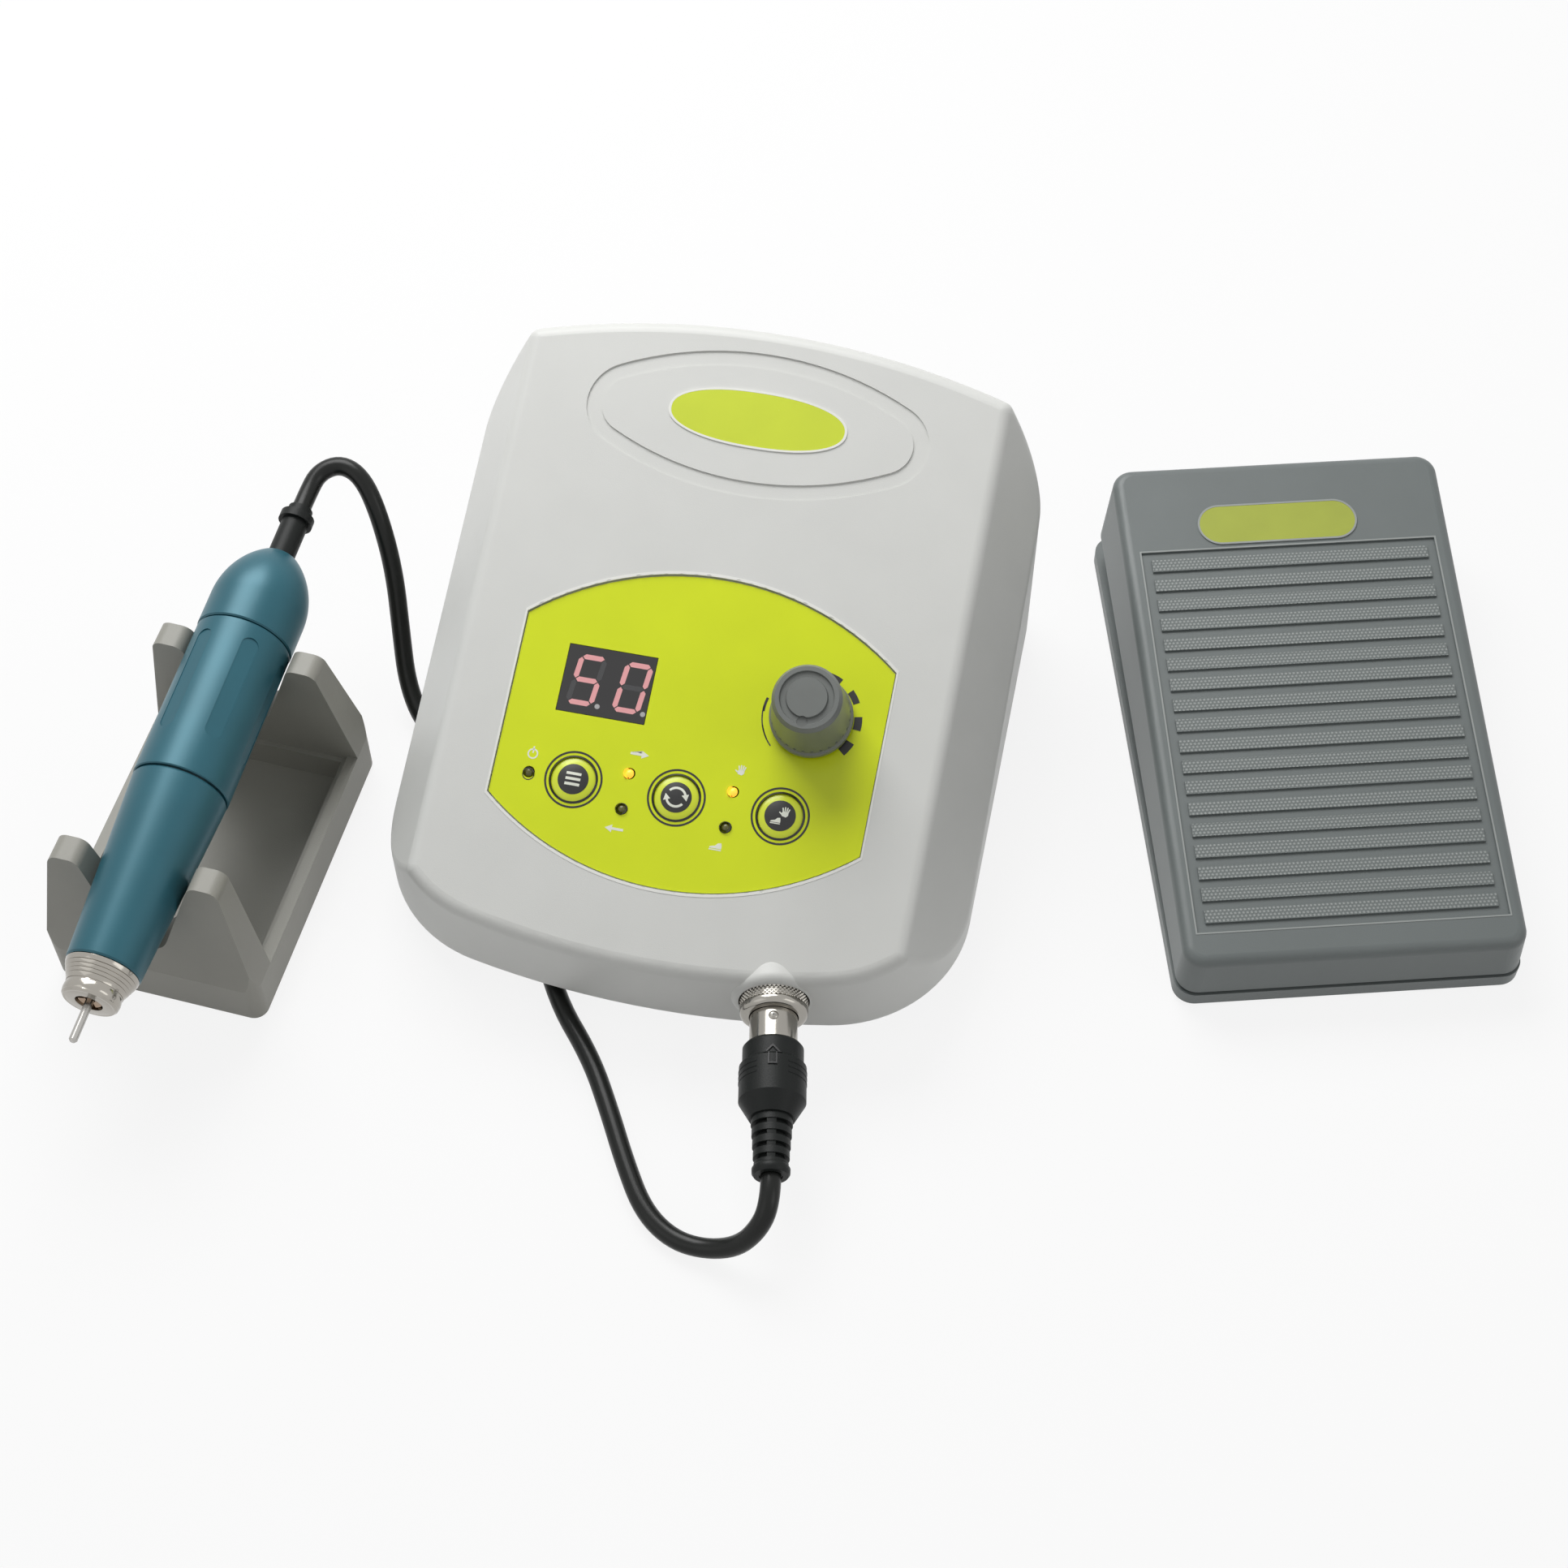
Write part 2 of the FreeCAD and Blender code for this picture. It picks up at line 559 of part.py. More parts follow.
def build_base():
    body = new_body("base_form")
    pad(body, new_sketch(body, "XY_Plane", [plan_corners("0")], lift="seam_z"), "seam_z - base_z", reverse=True)
    round_plan(body, "0")
    round_edges(body, "base_round", level_at("base_z"))
    cut_bevels(body, "0")
    round_edges(body, "top_round", beside_bevel)
    core = new_body("base_core")
    hollow = new_sketch(core, "XY_Plane", [plan_corners("housing_wall")], lift="seam_z")
    pad(core, hollow, "seam_z - base_z - floor_thick", reverse=True)
    round_plan(core, "housing_wall")
    cut_bevels(core, "housing_wall")
    posts = corner_posts("base_post", "2 * screw_radius + 1", "base_z", "seam_z")
    rail = block("bay_rail", ("2 * (bay_half + bay_rim)", "4 * bay_thick", "seam_z - base_z"),
                 ("-bay_half - bay_rim", "bay_y - 2.5 * bay_thick", "base_z"))
    stands = []
    for i, (x, y) in enumerate((a, b) for a in (-1, 1) for b in (-1, 1)):
        stands.append(rod(f"board_stand_{i}", "3", "floor_thick + post_high",
                          (f"driver_x + {x} * (driver_wide / 2 - 5)", f"driver_y + {y} * (driver_deep / 2 - 5)", "base_z")))
    below = block("below_seam", ("400", "400", "seam_z"), ("-200", "-200", "0"))
    boss = overlap("base_boss", boss_form("base_boss_form"), below)
    hollow = cut("base_hollow", core, *posts, rail, *stands, boss)
    tray = cut("base_tray", join("base_solid", body, boss), hollow)
    screws = corner_posts("base_screw_hole", "screw_radius + panel_fit", "0", "seam_z + 1")
    heads = corner_posts("base_head_hole", "screw_head + panel_fit", "0", "base_z + 3")
    slot = block("rail_slot", ("2 * (bay_half + bay_rim - 1 + slot_fit)", "bay_thick + 2 * slot_fit", "10"),
                 ("-bay_half - bay_rim + 1 - slot_fit", "bay_y - bay_thick - slot_fit", "seam_z - 3 - slot_fit"))
    base = cut("console_base", tray, *screws, *heads, slot, nut_recess("base_nut_recess"), socket_bore("base_socket_bore"))
    return keep(base, "console_base", CONSOLE)


# Fascia, display, buttons, lamps, knob

def turned(label, frame, corners):
    """A turned piece from corners of radius and height."""
    body = new_body(label + "_form")
    spin(body, corners)
    return keep(body, label, frame)


def build_fascia():
    body = new_body("fascia_form")
    loops = [fascia_loop("fascia_gap")]
    loops += panel_holes("button_radius + button_gap", "lamp_radius + panel_fit", "bush_radius + panel_fit", "2 * panel_fit")
    pad(body, new_sketch(body, "XY_Plane", loops, lift="-fascia_deep"), "fascia_thick")
    keep(body, "fascia_overlay", PANEL)
    opening = centred("display_u", "display_v", "display_wide", "display_high")
    window = new_body("window_form")
    pad(window, new_sketch(window, "XY_Plane", [opening], lift="-fascia_deep"), "window_thick")
    keep(window, "display_window", PANEL)
    module = new_body("module_form")
    pad(module, new_sketch(module, "XY_Plane", [opening], lift="-board_depth"), "board_depth - fascia_deep")
    keep(module, "display_module", PANEL)


def dome(radius, height):
    """The radius of the ball whose cap has this radius and height."""
    return f"({radius} ^ 2 + {height} ^ 2) / (2 * {height})"


def build_lamps():
    body = new_body("lamp_form")
    spin(body, [("0", "-board_depth"), ("lamp_radius", "-board_depth"), ("lamp_radius", "-fascia_deep", dome("lamp_radius", "fascia_deep")),
                ("0", "0")])
    shapes = []
    for x, y in lamp_places():
        lamp = body.Shape.copy()
        lamp.translate(Vector(number(x), number(y), 0))
        shapes.append(lamp)
    keep(group("lamps", shapes), "status_lamps", PANEL)


def build_buttons():
    gap = "(button_travel + panel_fit)"
    flange = "-fascia_deep - housing_wall - button_travel"
    for name, (x, y) in zip(("mode_button", "direction_button", "control_button"), button_places()):
        body = new_body(name + "_form")
        rim = "button_dome - fascia_deep + fascia_thick"
        spin(body, [("0", f"-board_depth + switch_high + 0.8 + {gap}"), ("stem_radius", f"-board_depth + switch_high + 0.8 + {gap}"),
                    ("stem_radius", f"{flange} - 1"), ("button_radius + 1.2", f"{flange} - 1"),
                    ("button_radius + 1.2", flange), ("button_radius", flange),
                    ("button_radius", f"{rim} - button_dome", dome("button_radius", "button_dome")),
                    ("0", rim)])
        keep(body, name, PANEL * Placement(Vector(number(x), number(y), 0), Rotation()))


def build_board():
    body = new_body("control_board_form")
    loop = rectangle("-board_half", "board_low", "board_half", "board_top")
    pad(body, new_sketch(body, "XY_Plane", [loop], lift="-board_depth"), "board_thick", reverse=True)
    round_edges(body, "3", upright)
    header = new_sketch(body, "XY_Plane", [rectangle("board_half - 12", "board_low + 6", "board_half - 6", "board_low + 30")],
                        lift="-board_depth")
    pad(body, header, "5")
    cases = [centred(x, y, "switch_side", "switch_side") for x, y in button_places()]
    pad(body, new_sketch(body, "XY_Plane", cases, lift="-board_depth"), "switch_high")
    plungers = [(x, y, "1.7") for x, y in button_places()]
    pad(body, new_sketch(body, "XY_Plane", plungers, lift="-board_depth"), "switch_high + 0.8")
    keep(body, "control_board", PANEL)


def build_knob():
    frame = PANEL * Placement(Vector(number("knob_u"), number("knob_v"), 0), Rotation())
    body = new_body("knob_form")
    top = "(knob_gap + knob_high)"
    spin(body, [("knob_bore", "knob_gap"), ("knob_radius", "knob_gap"), ("knob_radius", "knob_gap + 1.8"),
                ("knob_radius - 0.6", "knob_gap + 2.6"), ("knob_top + 0.5", f"{top} - 1.6"), ("knob_top - 0.4", top),
                ("knob_top - 1.6", top), ("knob_top - 1.9", f"{top} - 0.8"), ("knob_top - 3.3", f"{top} - 0.8"),
                ("knob_top - 3.6", top), ("0", top), ("0", f"{top} - 5"), ("knob_bore", f"{top} - 5")])
    rib = new_sketch(body, "XY_Plane", [("knob_radius - 0.1", "0", "0.75")], lift="knob_gap + 3.2")
    slot = pocket(body, rib, "knob_high", reverse=True)
    polar(body, slot, "knob_ribs")
    pointer = new_sketch(body, "XY_Plane", [("0", "-knob_top + 2.4", "1.5")], lift=top)
    pocket(body, pointer, "1")
    keep(body, "speed_knob", frame)
    turned("knob_shaft", frame, [("0", "-board_depth + 2"), ("knob_bore", "-board_depth + 2"),
                                 ("knob_bore", f"{top} - 5"), ("0", f"{top} - 5")])
    bore = "knob_bore + shaft_gap"
    turned("speed_potentiometer", frame, [
        ("0", "-board_depth"), ("pot_radius", "-board_depth"), ("pot_radius", "-board_depth + pot_deep - 1"),
        ("bush_radius", "-board_depth + pot_deep - 1"), ("bush_radius", "knob_gap - 0.4"), (bore, "knob_gap - 0.4"),
        (bore, "-board_depth + 1.8"), ("0", "-board_depth + 1.8")])


# Back of the console

def build_back():
    plate = new_body("rear_panel_form")
    side = "(bay_half + bay_rim - 1)"
    outline = rectangle(f"-{side}", "seam_z - inlet_z - 3", side, "bay_top + bay_rim - 1 - inlet_z")
    holes = [outline, centred("inlet_x", "0", "(inlet_wide + 2 * panel_fit)", "(inlet_high + 2 * panel_fit)"),
             centred("rocker_x", "0", "(rocker_wide + 2 * panel_fit)", "(rocker_high + 2 * panel_fit)"),
             ("fuse_x", "0", "fuse_radius + panel_fit"), ("jack_x", "0", "jack_radius + panel_fit")]
    pad(plate, new_sketch(plate, "XY_Plane", holes), "bay_thick", reverse=True)
    keep(plate, "rear_panel", BACK)

    inlet = new_body("mains_inlet_form")
    pad(inlet, new_sketch(inlet, "XY_Plane", [centred("inlet_x", "0", "inlet_wide", "inlet_high")]), "inlet_deep", reverse=True)
    lip = centred("inlet_x", "0", "(inlet_wide + 2 * inlet_lip)", "(inlet_high + 2 * inlet_lip)")
    pad(inlet, new_sketch(inlet, "XY_Plane", [lip]), "inlet_lip_thick")
    half_w = "(inlet_wide / 2 - inlet_wall)"
    half_h = "(inlet_high / 2 - inlet_wall)"
    mouth = [(f"inlet_x - {half_w}", f"-{half_h}"), (f"inlet_x + {half_w}", f"-{half_h}"),
             (f"inlet_x + {half_w}", f"{half_h} - 5"), (f"inlet_x + {half_w} - 5", half_h),
             (f"inlet_x - {half_w} + 5", half_h), (f"inlet_x - {half_w}", f"{half_h} - 5")]
    pocket(inlet, new_sketch(inlet, "XY_Plane", [mouth], lift="inlet_lip_thick"), "inlet_mouth")
    round_edges(inlet, "1.2", lambda e: upright(e) and e.BoundBox.ZMax > number("inlet_lip_thick") - 0.1
                and abs(middle(e).y) > number("inlet_high / 2"))
    keep(inlet, "mains_inlet", BACK)
    floor = number("inlet_lip_thick - inlet_mouth")
    pins = [Part.makeBox(2, 4, 12, Vector(number("inlet_x") + x - 1, y - 2, floor)) for x, y in ((-7, -1), (7, -1), (0, 3))]
    keep(group("inlet_pins_form", pins), "inlet_pins", BACK)

    case = new_body("switch_housing_form")
    pad(case, new_sketch(case, "XY_Plane", [centred("rocker_x", "0", "rocker_wide", "rocker_high")]), "15", reverse=True)
    rim = centred("rocker_x", "0", "(rocker_wide + 2)", "(rocker_high + 2)")
    pad(case, new_sketch(case, "XY_Plane", [rim]), "1.5")
    mouth = centred("rocker_x", "0", "(rocker_wide - 2.4)", "(rocker_high - 2.4)")
    pocket(case, new_sketch(case, "XY_Plane", [mouth], lift="1.5"), "8")
    pivot = new_sketch(case, "YZ_Plane", [("0", "0", "rocker_pin + running_gap")], lift="rocker_x")
    pocket(case, pivot, "rocker_wide - 0.6", both=True)
    keep(case, "switch_housing", BACK)
    rocker = new_body("power_rocker_form")
    long = "(rocker_high / 2 - 1.7)"
    profile = [(f"-{long} + 1.5", -3.5), (f"{long} - 1.5", -3.5), (long, 3.2), ("0", 1.9), (f"-{long}", 3.2)]
    pad(rocker, new_sketch(rocker, "YZ_Plane", [profile]), "rocker_wide - 3", both=True)
    pad(rocker, new_sketch(rocker, "YZ_Plane", [("0", "0", "rocker_pin")]), "rocker_wide - 1", both=True)
    tilt = Placement(Vector(number("rocker_x"), 0, 0), Rotation(X, number("rocker_tilt")))
    keep(rocker, "power_rocker", BACK * tilt)

    fuse = BACK * Placement(Vector(number("fuse_x"), 0, 0), Rotation())
    turned("fuse_holder", fuse, [("0", "-26"), ("fuse_radius - 1", "-26"), ("fuse_radius - 1", "-bay_thick - 2"),
                                 ("fuse_radius", "-bay_thick - 2"), ("fuse_radius", "0"), ("fuse_radius + 1.6", "0"),
                                 ("fuse_radius + 1.6", "1.5"), ("fuse_radius", "1.5"), ("fuse_radius - 0.6", "7"), ("0", "7")])
    jack = BACK * Placement(Vector(number("jack_x"), 0, 0), Rotation())
    turned("pedal_jack", jack, [("0", "-16"), ("jack_radius", "-16"), ("jack_radius", "0"), ("jack_radius + 1.8", "0"),
                                ("jack_radius + 1.8", "2"), ("jack_radius", "3"), ("3.2", "3"), ("3.2", "-13"), ("0", "-13")])


# Inside the console

def build_inside():
    floor = "(base_z + floor_thick)"
    core = new_body("transformer_core_form")
    window_low = f"{floor} + 8"
    window_high = f"{floor} + core_high - 8"
    windows = [rectangle(f"transformer_x + {a}", window_low, f"transformer_x + {b}", window_high)
               for a, b in (("-core_wide / 2 + 9", "-9.5"), ("9.5", "core_wide / 2 - 9"))]
    outline = rectangle("transformer_x - core_wide / 2", floor, "transformer_x + core_wide / 2", f"{floor} + core_high")
    pad(core, new_sketch(core, "XZ_Plane", [outline] + windows, lift="-transformer_y"), "32", both=True)
    keep(core, "transformer_core", CONSOLE)
    half = "(core_deep / 2)"
    outer = block("winding_outer", ("core_wide - 18.6", "core_deep", "core_high - 16.6"),
                  ("transformer_x - core_wide / 2 + 9.3", f"transformer_y - {half}", f"{window_low} + 0.3"))
    inner = block("winding_inner", ("19.6", "32.6", "core_high"), ("transformer_x - 9.8", "transformer_y - 16.3", floor))
    keep(cut("winding_form", outer, inner), "transformer_winding", CONSOLE)

    board = new_body("driver_board_form")
    top = f"({floor} + post_high)"
    pad(board, new_sketch(board, "XY_Plane", [centred("driver_x", "driver_y", "driver_wide", "driver_deep")], lift=top), "board_thick")
    cans = [("driver_x + 12", f"driver_y + {y}", "can_radius") for y in (-24, -8, 8)]
    pad(board, new_sketch(board, "XY_Plane", cans, lift=f"{top} + board_thick"), "can_high")
    keep(board, "driver_board", CONSOLE)
    sink = new_body("heat_sink_form")
    base = rectangle("driver_x - 26", "driver_y - 30", "driver_x - 10", "driver_y + 30")
    pad(sink, new_sketch(sink, "XY_Plane", [base], lift=f"{top} + board_thick"), "4")
    fin = rectangle("driver_x - 26", "driver_y - 30", "driver_x - 24.5", "driver_y + 30")
    blade = pad(sink, new_sketch(sink, "XY_Plane", [fin], lift=f"{top} + board_thick + 4"), "16")
    linear(sink, blade, "X_Axis", "14.5", "5")
    keep(sink, "heat_sink", CONSOLE)


def build_feet():
    spots = [Vector(side * number("foot_x"), number(depth), 0) for side in (-1, 1) for depth in ("foot_front", "foot_rear")]
    foot = new_body("foot_form")
    hole = "(screw_head + 2 * panel_fit)"
    spin(foot, [(hole, "0"), ("foot_radius - 1.6", "0"), ("foot_radius - 0.8", "0.8"), ("foot_radius", "base_z"), (hole, "base_z")])
    keep(group("feet_form", [foot.Shape.translated(spot) for spot in spots]), "console_feet", CONSOLE)
    screw = new_body("case_screw_form")
    head = "(base_z + 3)"
    spin(screw, [("0", f"{head} - 2"), ("screw_head - 0.6", f"{head} - 2"), ("screw_head", f"{head} - 1.4"),
                 ("screw_head", head), ("screw_radius", head), ("screw_radius", "seam_z + 9"), ("0", "seam_z + 9.6")])
    keep(group("screws_form", [screw.Shape.translated(spot) for spot in spots]), "case_screws", CONSOLE)


# Handpiece socket and plug

def build_plug():
    gap = "(shell_radius + panel_fit)"
    turned("handpiece_socket", SOCKET, [
        ("0", "-14"), ("socket_radius - 1.5", "-14"), ("socket_radius - 1.5", "nut_start - 7"),
        ("socket_radius + 2", "nut_start - 7"), ("socket_radius + 2", "nut_start - 4"), ("socket_radius", "nut_start - 4"),
        ("socket_radius", "socket_out"), (gap, "socket_out"), (gap, "-7"), ("0", "-7")])
    body = new_body("coupling_nut_form")
    thread = "(socket_radius + nut_gap)"
    end = "(nut_start + nut_long)"
    spin(body, [(thread, "nut_start"), ("nut_radius", "nut_start"), ("nut_radius", "nut_start + nut_knurl"),
                ("nut_radius - 0.5", "nut_start + nut_knurl + 0.5"), ("nut_radius - 0.5", f"{end} - 1"),
                ("nut_radius - 1.5", end), ("shell_radius + nut_gap", end), ("shell_radius + nut_gap", f"{end} - 2.2"),
                (thread, f"{end} - 2.2")])
    keep(body, "coupling_nut", SOCKET)
    turned("plug_shell", SOCKET, [("shell_radius - 0.7", "-6.5"), ("shell_radius", "-6.5"), ("shell_radius", "boot_start + 6"),
                                  ("shell_radius - 0.7", "boot_start + 6")])
    pins = [Part.makeCylinder(number("pin_radius"), 8, Vector(number("pin_circle") * math.cos(a), number("pin_circle") * math.sin(a), -5))
            for a in (math.radians(45 * k) for k in range(-1, 6))]
    block_form = Part.makeCylinder(number("shell_radius - 0.7"), 8, Vector(0, 0, 2))
    insert = doc.addObject("Part::Feature", "plug_insert_form")
    insert.Shape = block_form.multiFuse(pins)
    keep(insert, "plug_insert", SOCKET)
    turned("plug_boot", SOCKET, [
        ("shell_radius", "boot_start"), ("boot_radius - 1.4", "boot_start"), ("boot_radius - 0.8", "boot_start + 0.8"),
        ("boot_radius - 0.8", "boot_start + boot_collar - 0.8"), ("boot_radius", "boot_start + boot_collar"),
        ("boot_radius", "boot_end - 5"), ("relief_radius + 0.6", "boot_end"),
        ("relief_radius - 1", "boot_end"), ("relief_radius - 1", "boot_end - 4"), ("0", "boot_end - 4"),
        ("0", "boot_start + 6"), ("shell_radius", "boot_start + 6")])
    corners = [("0", "boot_end - 4"), ("relief_radius - 1", "boot_end - 4"), ("relief_radius - 1", "boot_end")]
    ribs = int(number("relief_ribs"))
    for i in range(ribs):
        radius = f"(relief_radius + (relief_tip - relief_radius) * {i} / {ribs})"
        low = f"(boot_end + relief_long * {i} / {ribs})"
        corners += [(radius, low), (radius, f"{low} + relief_long * 0.6 / {ribs}")]
        if i < ribs - 1:
            corners += [(f"{radius} - 1.3", f"{low} + relief_long * 0.6 / {ribs}"),
                        (f"{radius} - 1.3", f"{low} + relief_long / {ribs}")]
    corners[-1] = (corners[-1][0], "boot_end + relief_long")
    corners.append(("0", "boot_end + relief_long"))
    turned("plug_strain_relief", SOCKET, corners)


# Handpiece rest

def build_rest():
    body = new_body("rest_form")
    side = "(rest_wide / 2)"
    tip = "(rest_tip - tip_wide / 2)"
    apex = f"(rest_high - {tip} / tan(notch_half_angle))"
    bend = f"((notch_floor - {apex}) * sin(notch_half_angle) / (1 - sin(notch_half_angle)))"
    x = f"({bend} * cos(notch_half_angle))"
    z = f"notch_floor + {bend} * (1 - sin(notch_half_angle))"
    outline = [(f"-{side}", "rest_foot"), (side, "rest_foot"), (side, "rest_rim"), (f"{tip} + tip_wide", "rest_high"),
               (tip, "rest_high"), (x, z, f"-{bend}"), (f"-{x}", z), (f"-{tip}", "rest_high"),
               (f"-{tip} - tip_wide", "rest_high"), (f"-{side}", "rest_rim")]
    pad(body, new_sketch(body, "XZ_Plane", [outline]), "rest_long", both=True)
    half = "(rest_long / 2)"
    inner = f"({half} - end_thick)"
    outer_tip = f"({half} - end_lean - 1.3)"
    above = [(f"-{inner}", "rest_rim"), (inner, "rest_rim"), (f"{outer_tip} - tip_thick", "rest_high"),
             (f"-{outer_tip} + tip_thick", "rest_high")]
    ends = [[(f"{side} * {half}", "rest_rim"), (f"{side} * {half} * 1.1", "rest_rim"),
             (f"{side} * {half} * 1.1", "rest_high"), (f"{side} * {outer_tip}", "rest_high")] for side in (1, -1)]
    pocket(body, new_sketch(body, "YZ_Plane", [above] + ends), both=True)
    ledge = centred("0", "0", "(rest_wide - 2 * rim_wide)", f"(2 * {inner})")
    pocket(body, new_sketch(body, "XY_Plane", [ledge], lift="rest_rim"), "ledge_deep")
    tray = centred("0", "0", "(rest_wide - 2 * rim_wide - 2 * ledge_wide)", f"(2 * {inner} - 2 * ledge_wide)")
    pocket(body, new_sketch(body, "XY_Plane", [tray], lift="rest_rim"), "rest_rim - tray_floor - rest_foot")
    round_edges(body, "3.4", lambda e: level_at("rest_high")(e) and abs(middle(e).x) > 1 and e.Length > 5
                and abs(e.Vertexes[0].Point.x - e.Vertexes[1].Point.x) < 0.01)
    round_edges(body, "4", lambda e: upright(e, 0.3) and abs(middle(e).x) > number("rest_wide / 2 - 0.1"))
    keep(body, "handpiece_rest", REST)
    pads = [Part.makeCylinder(5, number("rest_foot"), Vector(a * 25, b * 39, 0)) for a in (-1, 1) for b in (-1, 1)]
    keep(group("rest_feet_form", pads), "rest_feet", REST)


def rest_height(radius):
    """The height at which a round body of a radius lies in the notches, with the seat gap added."""
    tip = "(rest_tip - tip_wide / 2)"
    return number(f"rest_high - ({tip} - ({radius}) / cos(notch_half_angle)) / tan(notch_half_angle) + seat_gap")


def handpiece_frame():
    """The handpiece's frame: Z from its nose to the rear, Y up."""
    radius = "grip_front + (grip_rear - grip_front) * (front_seat - nose_long) / (grip_end - nose_long)"
    low = rest_height(radius)
    high = rest_height("motor_radius")
    span = number("rear_seat - front_seat")
    slope = math.asin((high - low) / span)
    along = Vector(0, math.cos(slope), math.sin(slope))
    up = Vector(0, -math.sin(slope), math.cos(slope))
    nose = Vector(0, -span / 2 * math.cos(slope), low) - along * number("front_seat")
    return REST * Placement(nose, Rotation(Vector(-1, 0, 0), up, along, "ZYX"))


HAND = handpiece_frame()


# Handpiece

def build_handpiece():
    turned("nose_cap", HAND, [
        ("3.85", "0"), ("nose_lip - 0.6", "0"), ("nose_lip", "0.6"), ("nose_lip", "4.5"), ("nose_lip - 0.4", "4.7"),
        ("nose_lip - 0.4", "5.3"), ("nose_lip", "5.5"), ("nose_lip", "6.4"), ("nose_lip - 0.4", "6.6"),
        ("nose_lip - 0.4", "7.2"), ("nose_lip + 0.9", "7.6"), ("nose_rear", "nose_long - 0.7"),
        ("nose_rear", "nose_long - joint_line"), ("6.6", "nose_long - joint_line"), ("6.6", "2.2"), ("3.85", "2.2")])
    turned("front_barrel", HAND, [
        ("5.3", "2.2"), ("6.6 - spigot_gap", "2.2"), ("6.6 - spigot_gap", "12"), ("8.3", "12"), ("8.3", "grip_end"),
        ("motor_radius - 1.9 - spigot_gap", "grip_end"), ("motor_radius - 1.9 - spigot_gap", "grip_end + 3.5"), ("6.6", "grip_end + 3.5"), ("6.6", "13"), ("5.3", "13")])
    body = new_body("grip_form")
    land = "(8.3 + running_gap)"
    spin(body, [(land, "nose_long"), ("grip_front - 0.4", "nose_long"), ("grip_front", "nose_long + 0.5"),
                ("grip_rear", "grip_end - joint_line - 0.5"), ("grip_rear - 0.3", "grip_end - joint_line"),
                (land, "grip_end - joint_line"), (land, "grip_end - 8"), (f"{land} + 1", "grip_end - 10"),
                (f"{land} + 1", "nose_long + 8"), (land, "nose_long + 6")])
    keep(body, "grip_sleeve", HAND)
    body = new_body("motor_form")
    front = "(grip_end + joint_line)"
    spin(body, [("motor_radius - 1.9", front), ("motor_radius - 0.3", front), ("motor_radius", f"{front} + 0.3"),
                ("motor_radius", "motor_end - 0.3"), ("motor_radius - 0.3", "motor_end"), ("motor_radius - 1.9", "motor_end")])
    flute = [("2.5", "80.5"), ("2.5", "109.5", "2.6"), ("-2.5", "109.5"), ("-2.5", "80.5", "2.6")]
    hollow = pocket(body, new_sketch(body, "YZ_Plane", [flute], lift="motor_radius - 0.35"), "5", reverse=True)
    polar(body, hollow, "6")
    keep(body, "motor_housing", HAND)
    dome_start = "127"
    rise = f"(cap_end - {dome_start})"
    run = "(cap_radius - cap_mouth)"
    turned("rear_cap", HAND, [
        ("motor_radius - 3.9", "motor_end - 3.5"), ("motor_radius - 1.9 - spigot_gap", "motor_end - 3.5"),
        ("motor_radius - 1.9 - spigot_gap", "motor_end + joint_line"), ("cap_radius - 0.4", "motor_end + joint_line"),
        ("cap_radius", "motor_end + joint_line + 0.4"), ("cap_radius", dome_start, f"({run} ^ 2 + {rise} ^ 2) / (2 * {run})"),
        ("cap_mouth", "cap_end"), ("tube_radius", "cap_end"), ("tube_radius", "cap_end - 4"), ("8.5", "cap_end - 8.5"),
        ("cap_radius - 2", dome_start), ("cap_radius - 2", "motor_end + 1"), ("motor_radius - 3.9", "motor_end - 1")])
    turned("handpiece_cord_relief", HAND, [
        ("0", "cap_end - 9"), ("5.2", "cap_end - 9"), ("5.2", "cap_end - 6.7"), ("tube_radius", "cap_end - 5"),
        ("tube_radius", "flange_at"), ("flange_radius", "flange_at"), ("flange_radius", "flange_at + 2.5"),
        ("tube_radius - 0.3", "flange_at + 2.8"), ("tube_radius - 0.3", "relief_end"), ("0", "relief_end")])


def build_motor():
    inside = "motor_radius - 1.9 - spigot_gap"
    stator = new_body("stator_form")
    slots = [(f"9.4 * cos({40 * k})", f"9.4 * sin({40 * k})", "1.2") for k in range(9)]
    rings = [("0", "0", inside), ("0", "0", "7")]
    pad(stator, new_sketch(stator, "XY_Plane", rings + slots, lift="76"), "30")
    keep(stator, "motor_stator", HAND)
    turned("rotor", HAND, [("0", "64"), ("2", "64"), ("2", "78"), ("6.5", "78"), ("6.5", "104"), ("2", "104"), ("2", "112"),
                           ("0", "112")])
    bells = []
    for low in (70, 107.5):
        bell = new_body("bell_form")
        spin(bell, [("4.75", low), (inside, low), (inside, low + 4.8), ("4.75", low + 4.8)])
        bells.append(bell.Shape)
    keep(group("bells", bells), "motor_end_bells", HAND)
    rings = []
    for inner, outer, low, thick in ((5.03, 6.6, 14, 5), (5.03, 6.6, 50, 5), (2.03, 4.75, 70.3, 4), (2.03, 4.75, 107.8, 4)):
        ring = new_body("bearing_form")
        spin(ring, bearing_corners(inner, outer, low, thick))
        rings.append(ring.Shape)
    keep(group("bearing_rings", rings), "ball_bearings", HAND)


def bearing_corners(inner, outer, low, thick):
    """A bearing in section, with a shallow recess for the shield on both sides."""
    high = low + thick
    a, b = f"({inner} + ({outer} - {inner}) * 0.3)", f"({outer} - ({outer} - {inner}) * 0.3)"
    return [(inner, low), (a, low), (a, low + 0.25), (b, low + 0.25), (b, low), (outer, low), (outer, high), (b, high),
            (b, high - 0.25), (a, high - 0.25), (a, high), (inner, high)]


